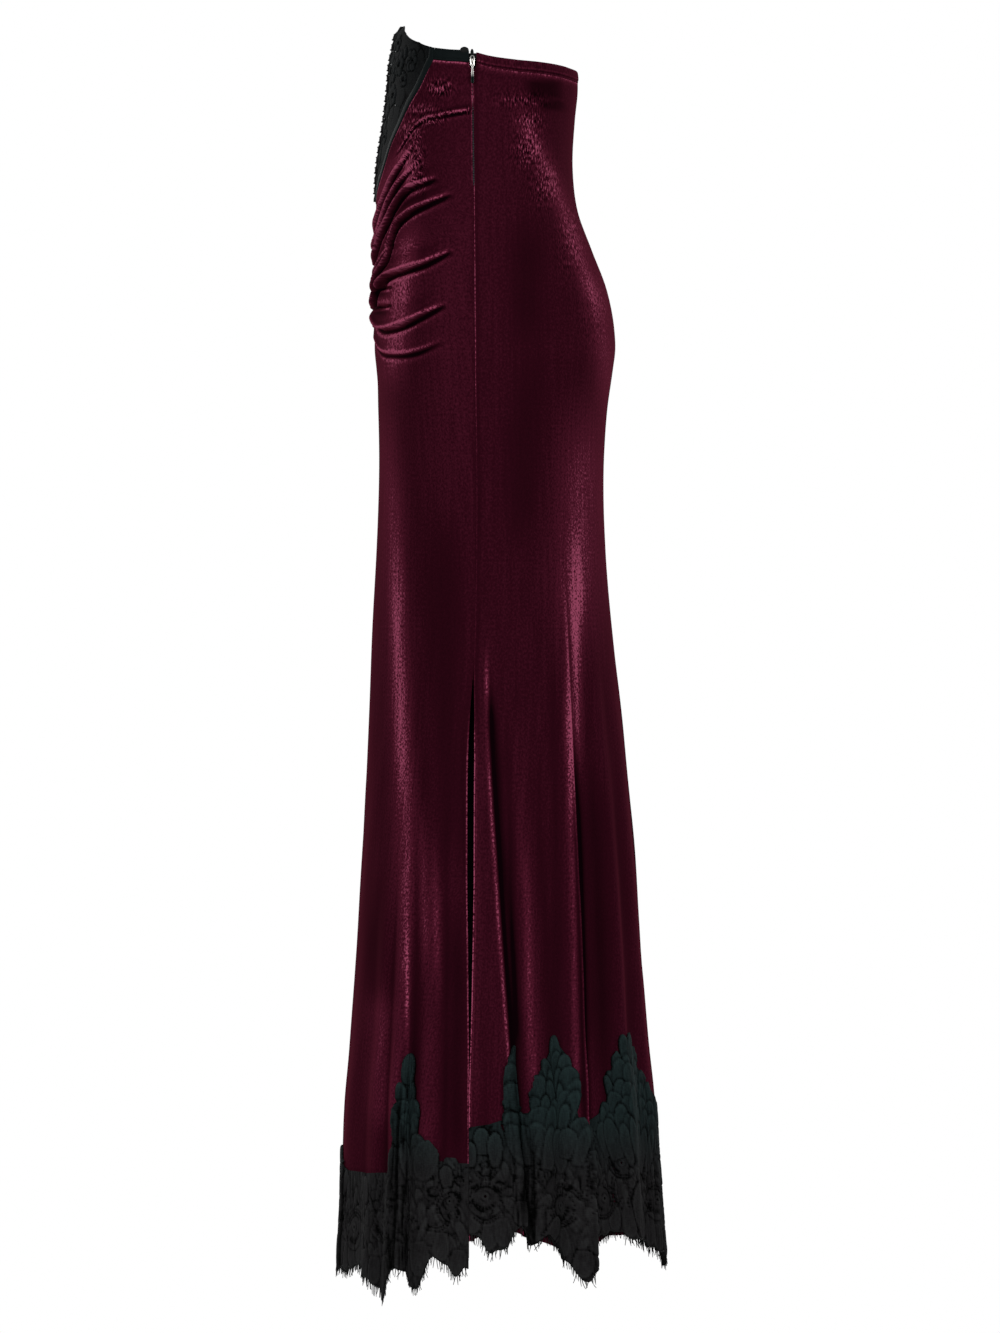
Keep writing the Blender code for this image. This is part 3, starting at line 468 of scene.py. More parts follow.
def unit(vectors: Floats) -> Floats:
    """Vectors divided by their lengths."""
    return vectors / np.maximum(np.linalg.norm(vectors, axis=-1, keepdims=True), 1e-12)


def waist_edge(turn: Floats) -> Floats:
    """Height of the waist's top edge."""
    return WAIST_EDGE.curved_around(turn)


def below_band(turn: Floats) -> Floats:
    """Height of the seam under the waistband."""
    return waist_edge(turn) - BAND_DEPTH - SEAM_GAP


def yoke_line(turn: Floats) -> Floats:
    """Height of the yoke's lower edge out to the waistband, and of the waistband's lower edge from there."""
    return np.where(np.abs(turn) <= YOKE_END, YOKE_EDGE.curved_around(turn), below_band(turn))


def grid_normals(points: Floats) -> Floats:
    """Outward unit normals of a grid whose rows go down and whose columns go round with the turn.

    The normal is the cross product of the step round and the step up at each point.

    Args:
        points: Points of the grid, mm.

    Returns:
        The normals.
    """
    round_it = np.gradient(points, axis=1)
    up = -np.gradient(points, axis=0)
    return unit(np.cross(round_it, up))


def grid_bend(points: Floats, normals: Floats) -> Floats:
    """How sharply a grid bends at each point, per mm: positive on ridges and negative in hollows.

    It is the normals' spread along both grid directions: the change of normal along a step over its length.

    Args:
        points: Points of the grid, mm.
        normals: Their unit normals.

    Returns:
        The bend at each point, per mm.
    """
    total = np.zeros(points.shape[:2])
    for axis in (0, 1):
        step, change = np.gradient(points, axis=axis), np.gradient(normals, axis=axis)
        total += (step * change).sum(-1) / np.maximum((step * step).sum(-1), 1e-9)
    return total


def grid_faces(rows: int, columns: int, flipped: bool = False) -> Ints:
    """Quads of a grid, facing out where rows go down and columns go round with the turn.

    Args:
        rows: Number of rows.
        columns: Number of columns.
        flipped: Whether the columns go against the turn.

    Returns:
        Four corner indices for each quad.
    """
    index = np.arange(rows * columns).reshape(rows, columns)
    a, b, c, d = index[:-1, :-1], index[1:, :-1], index[1:, 1:], index[:-1, 1:]
    quads = np.stack([a, b, c, d], axis=-1).reshape(-1, 4)
    return quads[:, ::-1] if flipped else quads


def arc_lengths(points: Floats) -> Floats:
    """Distance along each row of a grid from its first column."""
    steps = np.linalg.norm(np.diff(points, axis=1), axis=-1)
    return np.concatenate([np.zeros((len(points), 1)), np.cumsum(steps, axis=1)], axis=1)


def rim_quads(groups: Sequence[Ints], count: int) -> Ints:
    """Quads that close a wall along the open edges of its outer faces, whose inner copy starts at count.

    Args:
        groups: Arrays of the outer faces' corner indices.
        count: Number of outer points.

    Returns:
        The rim's quads.
    """
    edges = np.concatenate([np.stack([g, np.roll(g, -1, axis=1)], axis=-1).reshape(-1, 2) for g in groups])
    ordered = np.sort(edges, axis=1)
    keys = ordered[:, 0] * (count + 1) + ordered[:, 1]
    _, index, uses = np.unique(keys, return_index=True, return_counts=True)
    a, b = edges[index[uses == 1]].T
    return np.stack([b, a, a + count, b + count], axis=-1)


@dataclass
class Cloth:
    """A wall of cloth: outer points and faces, and what its finishes need to know of each point."""

    outer: Floats
    inner: Floats
    groups: list[Ints]
    flat: Floats
    marks: dict[str, Floats] = field(default_factory=dict)

    @staticmethod
    def of_grid(
        outer: Floats,
        inner: Floats,
        flat: Floats,
        marks: dict[str, Floats] | None = None,
        side: Side = Side.LEFT,
    ) -> Cloth:
        """A wall whose points stand in a grid, with rows that go down.

        Args:
            outer: Outer points, mm.
            inner: Inner points, mm.
            flat: The points' places on the cloth laid flat, mm.
            marks: Values for the grid's points, by the mark's name.
            side: Which way the columns go: with the turn for the left, against it for the right.

        Returns:
            The wall.
        """
        shape = outer.shape[:2]
        faces = grid_faces(*shape, flipped=side is Side.RIGHT)
        spread = {name: np.broadcast_to(values, shape).ravel() for name, values in (marks or {}).items()}
        return Cloth(outer.reshape(-1, 3), inner.reshape(-1, 3), [faces], flat.reshape(-1, 2), spread)

    def make(self, name: str, finishes: Sequence[Material]) -> Body:
        """Makes the closed wall: outer faces, the same faces turned round on the inner points, and a rim.

        Args:
            name: The object's name.
            finishes: The outer finish and, where there is a second, the inner one.

        Returns:
            The new object, in metres, at the origin.
        """
        count = len(self.outer)
        rim = rim_quads(self.groups, count)
        groups = [*self.groups, rim, *[g[:, ::-1] + count for g in self.groups]]
        inner_faces = sum(len(g) for g in self.groups)
        outer_faces = inner_faces + len(rim)
        body = make_mesh(name, np.concatenate([self.outer, self.inner]), groups, finishes)
        mesh = body.data
        if len(finishes) > 1:
            which = np.concatenate([np.zeros(outer_faces, np.int32), np.ones(inner_faces, np.int32)])
            mesh.polygons.foreach_set("material_index", which)
        corners = np.empty(len(mesh.loops), np.int32)
        mesh.loops.foreach_get("vertex_index", corners)
        flat = np.concatenate([self.flat, self.flat])[corners] * MM
        mesh.uv_layers.new(name="cloth").data.foreach_set("uv", flat.astype(np.float32).ravel())
        for mark, values in self.marks.items():
            layer = mesh.attributes.new(mark, "FLOAT", "POINT")
            layer.data.foreach_set("value", np.concatenate([values, values]).astype(np.float32))
        return body


def make_mesh(
    name: str,
    points: Floats,
    groups: Sequence[Ints],
    finishes: Sequence[Material] = (),
    smooth_under: float = 62.0,
) -> Body:
    """Makes an object from points and groups of faces, each group with one number of corners.

    Args:
        name: The object's name.
        points: Points, mm.
        groups: Arrays of corner indices.
        finishes: Its finishes.
        smooth_under: Edges that bend less than this many degrees are shaded smooth.

    Returns:
        The object, linked to the scene, with its place in its mesh.
    """
    mesh = bpy.data.meshes.new(name)
    groups = [g for g in groups if len(g)]
    corners = np.concatenate([g.ravel() for g in groups])
    sizes = np.concatenate([np.full(len(g), g.shape[1]) for g in groups])
    mesh.vertices.add(len(points))
    mesh.vertices.foreach_set("co", (points * MM).astype(np.float32).ravel())
    mesh.loops.add(len(corners))
    mesh.loops.foreach_set("vertex_index", corners.astype(np.int32))
    mesh.polygons.add(len(sizes))
    mesh.polygons.foreach_set("loop_start", (np.cumsum(sizes) - sizes).astype(np.int32))
    mesh.polygons.foreach_set("loop_total", sizes.astype(np.int32))
    mesh.update(calc_edges=True)
    mesh.validate()
    mesh.shade_smooth()
    mesh.set_sharp_from_angle(angle=math.radians(smooth_under))
    for finish in finishes:
        mesh.materials.append(finish)
    body = bpy.data.objects.new(name, mesh)
    bpy.context.scene.collection.objects.link(body)
    return body


def tubes(paths: Floats, radii: Floats, sides: int = 4) -> tuple[Floats, list[Ints]]:
    """Closed tubes along paths: rings square to each path, joined by quads and closed by a cap at each end.

    Args:
        paths: Points, of shape (tubes, points, 3), mm.
        radii: Radius at each point, of shape (tubes, points), mm.
        sides: Sides of each ring.

    Returns:
        The points of all tubes and their groups of faces.
    """
    count, length = paths.shape[:2]
    along = unit(np.gradient(paths, axis=1))
    helper = np.where(np.abs(along[..., 2:]) > 0.9, np.array([1.0, 0, 0]), np.array([0, 0, 1.0]))
    across = unit(np.cross(along, helper))
    other = np.cross(along, across)
    steps = np.arange(sides) * 2 * math.pi / sides
    spin = np.cos(steps)[:, None] * across[:, :, None] + np.sin(steps)[:, None] * other[:, :, None]
    points = paths[:, :, None] + spin * radii[:, :, None, None]
    index = np.arange(count * length * sides).reshape(count, length, sides)
    a, b = index[:, :-1], index[:, 1:]
    walls = np.stack([a, np.roll(a, -1, 2), np.roll(b, -1, 2), b], axis=-1).reshape(-1, 4)
    caps = np.concatenate([index[:, 0][:, ::-1], index[:, -1]])
    return points.reshape(-1, 3), [walls, caps]


# -------------------------------------------------------------------------------------------- finishes


def linear(hex_colour: str) -> tuple[float, float, float, float]:
    """An sRGB hex colour as linear red, green, blue and full alpha, by the sRGB curve.

    Args:
        hex_colour: Six hex digits.

    Returns:
        Linear red, green, blue and alpha.
    """
    parts = (int(hex_colour[i : i + 2], 16) / 255 for i in (0, 2, 4))
    red, green, blue = (c / 12.92 if c <= 0.04045 else ((c + 0.055) / 1.055) ** 2.4 for c in parts)
    return red, green, blue, 1.0


def fill_sockets(node: bpy.types.Node, inputs: Inputs) -> None:
    """Puts values, or links from outputs, into a node's inputs.

    Args:
        node: The node.
        inputs: A value or an output for each input's name or place.
    """
    for key, value in inputs.items():
        if isinstance(value, Socket):
            node.id_data.links.new(value, node.inputs[key])
        else:
            node.inputs[key].default_value = value


def add_node(
    tree: bpy.types.NodeTree, kind: str, inputs: Inputs | None = None, out: str | int = 0, **settings: object
) -> Socket:
    """Adds a node with its settings and links.

    Args:
        tree: The node tree.
        kind: The shader node's type, such as Math.
        inputs: Values for inputs, or the outputs to link into them.
        out: The output that is wanted.
        settings: The node's own settings.

    Returns:
        That output of the new node.
    """
    node = tree.nodes.new("ShaderNode" + kind)
    for name, value in settings.items():
        setattr(node, name, value)
    fill_sockets(node, inputs or {})
    return node.outputs[out]


def blank_material(name: str) -> tuple[Material, bpy.types.NodeTree, bpy.types.Node]:
    """A new material with nothing but its shader.

    Args:
        name: The material's name.

    Returns:
        The material, its node tree and its Principled shader.
    """
    material = bpy.data.materials.new(name)
    material.use_nodes = True
    return material, material.node_tree, material.node_tree.nodes["Principled BSDF"]


def cells(source: Socket, size: Cell, detail: float) -> Socket:
    """Uneven cells of noise at their real size.

    Args:
        source: Coordinates in metres.
        size: The size of a cell along each axis, mm.
        detail: How much finer noise is added.

    Returns:
        The pattern, from 0 to 1.
    """
    tree = source.id_data
    scaled = add_node(tree, "Mapping", {"Vector": source, "Scale": tuple(1000 / mm for mm in size)})
    return add_node(tree, "TexNoise", {"Vector": scaled, "Scale": 1.0, "Detail": detail, "Roughness": 0.55})


@dataclass(frozen=True)
class WineVelvet:
    """Stretch velvet: short cut fibres that stand up from a knit.

    Its colour runs from near black wine, which is painted shade, to a greyed pink, which is painted sheen and
    highlight.
    """

    name: str = "wine_velvet_cut_pile"
    # deep is painted shade; the two pinks after body are painted sheen, the brighter one a painted highlight.
    deep: str = "0d0206"
    body: str = "2e0915"
    painted_sheen: str = "52192b"
    painted_highlight: str = "a04a66"
    sheen_tint: str = "ff5f84"
    sheen: float = 0.14
    sheen_roughness: float = 0.3
    roughness: float = 0.85
    ior: float = 1.1
    specular: float = 0.02
    streak: Cell = (3.4, 60.0, 1.0)
    grain: Cell = (1.7, 2.4, 1.0)
    pucker: Cell = (1.5, 4.6, 1.0)
    fuzz_mm: float = 0.35
    pucker_mm: float = 2.0

    def make(self) -> Material:
        """Builds the material.

        The colour runs from deep, which is painted shade, through body to two pinks of painted sheen, the
        last a painted highlight, by the painted shade and sheen mark. Upright streaks and grain shift it, the
        more so the lighter the
        mark is: by (1.9 m^2 + 0.06) times their sum, m being the mark. Where the mark "crush" is set, short
        upright puckers shift it too, as strokes of painted sheen, and stand up in the bump.

        Returns:
            The material.
        """
        material, tree, shader = blank_material(self.name)
        flat = add_node(tree, "UVMap", uv_map="cloth")
        pile = add_node(tree, "Attribute", out="Fac", attribute_name="pile")
        crush = add_node(tree, "Attribute", out="Fac", attribute_name="crush")
        streaks, grain = cells(flat, self.streak, 3.0), cells(flat, self.grain, 2.0)
        puckers = cells(flat, self.pucker, 1.0)
        squared = add_node(tree, "Math", {0: pile, 1: pile}, operation="MULTIPLY")
        reach = add_node(tree, "Math", {0: squared, 1: 1.9, 2: 0.06}, operation="MULTIPLY_ADD")
        shift = add_node(tree, "Math", {0: streaks, 1: 0.55, 2: -0.275}, operation="MULTIPLY_ADD")
        centred = add_node(tree, "Math", {0: grain, 1: 0.5}, operation="SUBTRACT")
        shift = add_node(tree, "Math", {0: centred, 1: 1.4, 2: shift}, operation="MULTIPLY_ADD")
        tone = add_node(tree, "Math", {0: shift, 1: reach, 2: pile}, operation="MULTIPLY_ADD")
        strokes = add_node(tree, "Math", {0: puckers, 1: 5.5, 2: -5.5 * 0.49}, operation="MULTIPLY_ADD")
        tone = add_node(tree, "Math", {0: strokes, 1: crush, 2: tone}, operation="MULTIPLY_ADD")
        colour = add_node(tree, "ValToRGB", {"Fac": tone})
        stops = colour.node.color_ramp.elements
        # Stops: painted shade, the body's own colour, painted sheen, painted highlight.
        stops[0].position, stops[0].color = 0.0, linear(self.deep)
        stops[1].position, stops[1].color = 1.0, linear(self.painted_highlight)
        stops.new(0.33).color = linear(self.body)
        stops.new(0.66).color = linear(self.painted_sheen)
        fuzz = add_node(tree, "Math", {0: streaks, 1: 0.2}, operation="MULTIPLY")
        fuzz = add_node(tree, "Math", {0: grain, 1: 0.6, 2: fuzz}, operation="MULTIPLY_ADD")
        fuzzy = add_node(tree, "Bump", {"Strength": 0.45, "Distance": self.fuzz_mm * MM, "Height": fuzz})
        standing = add_node(tree, "Math", {0: puckers, 1: crush}, operation="MULTIPLY")
        bump_inputs = {"Strength": 1.0, "Distance": self.pucker_mm * MM, "Height": standing, "Normal": fuzzy}
        inputs = {
            "Base Color": colour,
            "Normal": add_node(tree, "Bump", bump_inputs),
            "Roughness": self.roughness,
            "IOR": self.ior,
            "Specular IOR Level": self.specular,
            "Sheen Weight": self.sheen,
            "Sheen Roughness": self.sheen_roughness,
            "Sheen Tint": linear(self.sheen_tint),
        }
        fill_sockets(shader, inputs)
        return material


@dataclass(frozen=True)
class TwoTone:
    """A stuff in two close tones, mixed by the cells of its own make-up, which also stand up in the bump."""

    name: str
    dark: str
    light: str
    cell: Cell
    roughness: float
    specular: float
    detail: float = 1.0
    strength: float = 0.0
    height_mm: float = 0.0
    on_cloth: bool = False
    heading: float = 0.0

    def pattern(self, tree: bpy.types.NodeTree) -> Socket:
        """The cells, on the cloth's own flat coordinates or on Object coordinates.

        Args:
            tree: The material's node tree.

        Returns:
            The pattern, from 0 to 1.
        """
        if not self.on_cloth:
            return cells(add_node(tree, "TexCoord", out="Object"), self.cell, self.detail)
        flat = add_node(tree, "UVMap", uv_map="cloth")
        if self.heading:
            flat = add_node(tree, "Mapping", {"Vector": flat, "Rotation": (0, 0, math.radians(self.heading))})
        return cells(flat, self.cell, self.detail)

    def make(self) -> Material:
        """Builds the material: the pattern mixes dark and light, and raises the bump.

        Returns:
            The material.
        """
        material, tree, shader = blank_material(self.name)
        pattern = self.pattern(tree)
        tones = {"Factor": pattern, 6: linear(self.dark), 7: linear(self.light)}
        inputs = {
            "Base Color": add_node(tree, "Mix", tones, 2, data_type="RGBA"),
            "Roughness": self.roughness,
            "Specular IOR Level": self.specular,
        }
        if self.strength:
            bump_inputs = {"Strength": self.strength, "Distance": self.height_mm * MM, "Height": pattern}
            inputs["Normal"] = add_node(tree, "Bump", bump_inputs)
        fill_sockets(shader, inputs)
        return material


# The back of the velvet: a plain dull knit with fine upright wales.
KNIT_BACKING = TwoTone(
    "velvet_knit_backing", "1c0509", "33101a", (1.6, 6.4, 1.0), 0.9, 0.1,
    strength=0.5, height_mm=0.4, on_cloth=True,
)  # fmt: skip
# Black satin: floats of smooth yarn that give a soft gloss across a fine diagonal, drawn 1 mm coarse to show.
BLACK_SATIN = TwoTone(
    "black_satin_weave", "05090a", "0e1617", (5.5, 1.1, 1.0), 0.62, 0.05,
    strength=0.25, height_mm=0.25, on_cloth=True, heading=38,
)  # fmt: skip
# Loose black thread of the eyelash fringe: round, matt and a little fuzzy, its plies drawn 0.8 mm thick.
BLACK_THREAD = TwoTone(
    "black_fringe_thread", "040505", "161818", (0.8, 0.8, 0.8), 0.8, 0.2, strength=0.5, height_mm=0.2
)
# Grey nylon monofilament of the zip's coil: smooth, with a soft gloss, its tone a little uneven.
NYLON_COIL = TwoTone("grey_nylon_coil", "27262a", "434146", (3.0, 3.0, 3.0), 0.45, 0.3)
# Cut black glass bead: very smooth, so that each one carries a pinpoint highlight.
JET_BEAD = TwoTone("black_glass_bead", "040404", "1c2322", (6.0, 6.0, 6.0), 0.3, 0.35, detail=0.0)


@dataclass(frozen=True)
class WovenTape(TwoTone):
    """Zip tape: a close polyester weave with a faint herringbone, its threads drawn 1 mm thick to show."""

    name: str = "zip_tape_polyester_weave"
    dark: str = "0a0a0b"
    light: str = "1e1e20"
    cell: Cell = (1.0, 1.0, 1.0)
    roughness: float = 0.75
    specular: float = 0.25
    strength: float = 0.4
    height_mm: float = 0.3

    def pattern(self, tree: bpy.types.NodeTree) -> Socket:
        """Slanting bands of 20 threads, bent by noise.

        Args:
            tree: The material's node tree.

        Returns:
            The pattern, from 0 to 1.
        """
        flat = add_node(tree, "UVMap", uv_map="cloth")
        scale = 1000 / (20 * self.cell[0])
        inputs = {"Vector": flat, "Scale": scale, "Distortion": 1.5, "Detail": self.detail}
        return add_node(tree, "TexWave", inputs, "Fac", bands_direction="DIAGONAL")


@dataclass(frozen=True)
class BlackLace:
    """Corded lace of black cotton and nylon: a matt thread ground with rounder cords, a little lighter as
    painted highlight.
    """

    name: str = "black_corded_lace"
    ground: str = "1c1b1c"
    cord: str = "303131"
    pit: str = "010101"
    cast: tuple[float, float, float, float] = (0.72, 1.3, 1.28, 1.0)
    thread_mm: float = 1.2
    roughness: float = 0.8
    specular: float = 0.03

    def make(self) -> Material:
        """Builds the material.

        Threads are crossed noise, the mark "relief" runs from pits through ground to cords, dark in pits as
        painted shade and light on cords as painted highlight, and the mark "cast" gives the green of a dense
        black dye.

        Returns:
            The material.
        """
        material, tree, shader = blank_material(self.name)
        flat = add_node(tree, "UVMap", uv_map="cloth")
        relief = add_node(tree, "Attribute", out="Fac", attribute_name="relief")
        upright = cells(flat, (self.thread_mm, self.thread_mm * 5, 1.0), 2.0)
        level = cells(flat, (self.thread_mm * 3, self.thread_mm * 0.8, 1.0), 1.0)
        threads = add_node(tree, "Math", {0: level, 1: 0.4}, operation="MULTIPLY")
        threads = add_node(tree, "Math", {0: upright, 1: 0.6, 2: threads}, operation="MULTIPLY_ADD")
        centred = add_node(tree, "Math", {0: threads, 1: 0.5}, operation="SUBTRACT")
        tone = add_node(tree, "Math", {0: centred, 1: 0.7, 2: relief}, operation="MULTIPLY_ADD")
        colour = add_node(tree, "ValToRGB", {"Fac": tone})
        # Stops: pit for painted shade, ground, and cord for painted highlight.
        stops = colour.node.color_ramp.elements
        stops[0].position, stops[0].color = 0.08, linear(self.pit)
        stops[1].position, stops[1].color = 0.95, linear(self.cord)
        stops.new(0.42).color = linear(self.ground)
        cast = add_node(tree, "Attribute", out="Fac", attribute_name="cast")
        tint = {"Factor": cast, 6: colour, 7: self.cast}
        inputs = {
            "Base Color": add_node(tree, "Mix", tint, 2, data_type="RGBA", blend_type="MULTIPLY"),
            "Normal": add_node(tree, "Bump", {"Strength": 0.8, "Distance": 0.6 * MM, "Height": threads}),
            "Roughness": self.roughness,
            "Specular IOR Level": self.specular,
        }
        fill_sockets(shader, inputs)
        return material


@dataclass(frozen=True)
class Nickel:
    """Polished nickel plate on die-cast zinc: a bright mirror softened by fine handling marks."""

    name: str = "nickel_plated_zinc"
    colour: str = "e6e4df"
    roughness: float = 0.2
    mark_mm: float = 1.4

    def make(self) -> Material:
        """Builds the material: roughness goes up and down a little with fine noise on Object coordinates.

        Returns:
            The material.
        """
        material, tree, shader = blank_material(self.name)
        marks = cells(add_node(tree, "TexCoord", out="Object"), (self.mark_mm,) * 3, 3.0)
        uneven = {0: marks, 1: 0.18, 2: self.roughness - 0.08}
        inputs = {
            "Base Color": linear(self.colour),
            "Metallic": 1.0,
            "Roughness": add_node(tree, "Math", uneven, operation="MULTIPLY_ADD"),
            "Normal": add_node(tree, "Bump", {"Strength": 0.15, "Distance": 0.1 * MM, "Height": marks}),
        }
        fill_sockets(shader, inputs)
        return material


@dataclass(frozen=True)
class BlackNickel:
    """Black nickel plate with a painted glint where the pull hangs: a mirror that darkens towards the tip."""

    name: str = "black_nickel_plated_zinc"
    dark: str = "16201f"
    painted_glint: str = "e2e0dc"
    tip_mm: float = -15.0
    bright_mm: float = -10.0

    def make(self) -> Material:
        """Builds the material: its colour runs from dark to a painted glint between two heights on Object
        coordinates.

        Returns:
            The material.
        """
        material, tree, shader = blank_material(self.name)
        height = add_node(tree, "SeparateXYZ", {0: add_node(tree, "TexCoord", out="Object")}, 2)
        scale = 1000 / (self.bright_mm - self.tip_mm)
        part = {0: height, 1: scale, 2: -self.tip_mm * MM * scale}
        part = add_node(tree, "Math", part, operation="MULTIPLY_ADD")
        tones = {"Factor": part, 6: linear(self.dark), 7: linear(self.painted_glint)}
        colour = add_node(tree, "Mix", tones, 2, data_type="RGBA")
        fill_sockets(shader, {"Base Color": colour, "Metallic": 1.0, "Roughness": 0.25})
        return material


@dataclass
class Finishes:
    """Every finish, made once."""

    velvet: Material = field(default_factory=WineVelvet().make)
    backing: Material = field(default_factory=KNIT_BACKING.make)
    satin: Material = field(default_factory=BLACK_SATIN.make)
    lace: Material = field(default_factory=BlackLace().make)
    thread: Material = field(default_factory=BLACK_THREAD.make)
    tape: Material = field(default_factory=WovenTape().make)
    coil: Material = field(default_factory=NYLON_COIL.make)
    nickel: Material = field(default_factory=Nickel().make)
    black_nickel: Material = field(default_factory=BlackNickel().make)
    bead: Material = field(default_factory=JET_BEAD.make)


# ---------------------------------------------------------------------------------------------- velvet


# Width of the opening along the side seam, against height.
SLIT = Line.of((-1140, 0.3), (-895, 0.3), (-823, 3.4), (-720, 6.8), (-613, 6.8), (-573, 4.6), (-532, 0.3))


@dataclass(frozen=True)
class Sheen:
    """A band of painted sheen, lighter, or of painted shade, darker where strength is under 0.

    It follows a line of places from front to back, in mm, against height, from bottom to top.
    """

    line: Line
    width: float
    strength: float
    soft: float = 40.0
    flank: float = 2.0

    def at(self, y: Floats, z: Floats) -> Floats:
        """The band's share of the tone: e to the minus distance in widths to the power flank.

        Args:
            y: Places from front to back, mm.
            z: Heights, mm.

        Returns:
            What the band adds to the tone.
        """
        bottom, top, soft = self.line.places[0], self.line.places[-1], self.soft
        ends = ease(bottom - soft, bottom + soft, z) * (1 - ease(top - soft, top + soft, z))
        away = np.abs((y - self.line.smooth(z)) / self.width)
        return self.strength * np.exp(-(away**self.flank)) * ends


# Painted sheen bands on the front, and painted shade where strength is under 0, first in the ruching's two
# pits.
FRONT_SHEENS_AND_SHADES = (
    # line from front to back against height, width, strength, softness of its ends, flank
    Sheen(Line.of((-205, -93), (-200, -93)), 6, -0.6, 3),
    Sheen(Line.of((-221, -93), (-215, -93)), 6, -0.6, 3),
    Sheen(Line.of((-165, -96), (-116, -89), (-92, -79), (-74, -69)), 7, 0.28, 12),
    Sheen(Line.of((-116, -64), (-84, -69)), 5.5, 0.42, 8, 3.0),
    Sheen(Line.of((-275, -81), (-205, -74), (-150, -67)), 12, 0.42, 28),
    Sheen(Line.of((-790, -70), (-600, -72), (-525, -75), (-385, -81), (-332, -84)), 10, 0.3, 90),
    Sheen(Line.of((-640, -73), (-450, -78)), 6, 0.2),
    Sheen(Line.of((-788, -53), (-665, -55)), 4.5, 0.26),
    Sheen(Line.of((-806, -41), (-700, -44)), 3.5, 0.22),
    Sheen(Line.of((-930, -90), (-820, -90)), 13, 0.2, 16),
    Sheen(Line.of((-860, -68), (-765, -68)), 1.6, 0.4),
    Sheen(Line.of((-806, -100), (-731, -97)), 10, -0.15),
    Sheen(Line.of((-964, -25), (-762, -25)), 9, -0.16),
    Sheen(Line.of((-700, -30), (-420, -34)), 16, -0.1),
    Sheen(Line.of((-380, -40), (-130, -32)), 20, 0.06),
)
# Painted sheen bands on the back, and painted shade where strength is under 0.
BACK_SHEENS_AND_SHADES = (
    Sheen(Line.of((-215, 97), (-115, 63), (-51, 33)), 9, 0.3, 20),
    Sheen(Line.of((-300, 108), (-200, 100)), 11, 0.25),
    Sheen(Line.of((-500, 80), (-318, 86)), 22, 0.3, 50),
    Sheen(Line.of((-640, 78), (-437, 80)), 6, 0.45, 50),
    Sheen(Line.of((-903, 40), (-709, 37)), 3.5, 0.16),
    Sheen(Line.of((-565, 2.6), (-525, 1.5)), 2.2, 0.35, 20),
    Sheen(Line.of((-930, -9), (-590, -9)), 5, 0.12),
    Sheen(Line.of((-240, 36), (-150, 36)), 15, -0.13, 25),
    Sheen(Line.of((-33, 53), (-18, 51)), 15, -0.25, 2.2, 5.0),
    Sheen(Line.of((-43, 60), (-35, 58)), 11, -0.24, 2.0, 5.0),
    Sheen(Line.of((-410, 30), (-260, 40)), 16, -0.1),
    Sheen(Line.of((-860, 101), (-640, 97)), 18, -0.12),
    # A painted shadow beside the tail's first crisp fold edge and a painted highlight on it, then the same on
    # the second.
    Sheen(
        Line.of((-860, 28), (-815, 25.2), (-776, 22.6), (-722, 18.2), (-685, 15), (-617, 10.6), (-560, 6)),
        3.6, -0.3, 20,
    ),  # fmt: skip
    Sheen(Line.of((-850, 21.5), (-815, 18.6), (-776, 16), (-722, 11.6), (-617, 4)), 2, 0.16, 30),
    Sheen(Line.of((-960, 82), (-831, 79.3), (-781, 78.3), (-680, 75.6), (-613, 74), (-540, 72)), 3, 0.26, 40),
    Sheen(Line.of((-960, 88), (-831, 85.6), (-781, 84.6), (-680, 82), (-600, 79)), 3.8, -0.3, 30),
)


@dataclass(frozen=True)
class Crush:
    """A patch of small upright puckers, at a place from front to back and a height."""

    y: float
    z: float
    wide: float
    tall: float
    strength: float

    def at(self, y: Floats, z: Floats) -> Floats:
        """The patch's strength: a bell both ways."""
        return self.strength * bump(y, self.y, self.wide) * bump(z, self.z, self.tall)


FRONT_CRUSHES = (
    # place from front to back, height, half width, half height, strength
    Crush(-40, -24, 12, 8, 0.8),
    Crush(-56, -43, 14, 6, 0.8),
    Crush(-66, -62, 10, 12, 1.0),
    Crush(-63, -88, 9, 20, 1.1),
    Crush(-56, -108, 6, 10, 0.7),
    Crush(-76, -200, 12, 34, 0.22),
    Crush(-50, -52, 12, 4, 1.4),
    Crush(-30, -46, 12, 1.8, 1.2),
)
BACK_CRUSHES = (
    Crush(33, -35, 22, 7, 0.5),
    Crush(40, -54, 13, 10, 0.6),
    Crush(38, -78, 13, 17, 0.65),
    Crush(52, -108, 12, 22, 0.55),
    Crush(76, -155, 14, 34, 0.36),
    Crush(94, -220, 14, 34, 0.2),
)


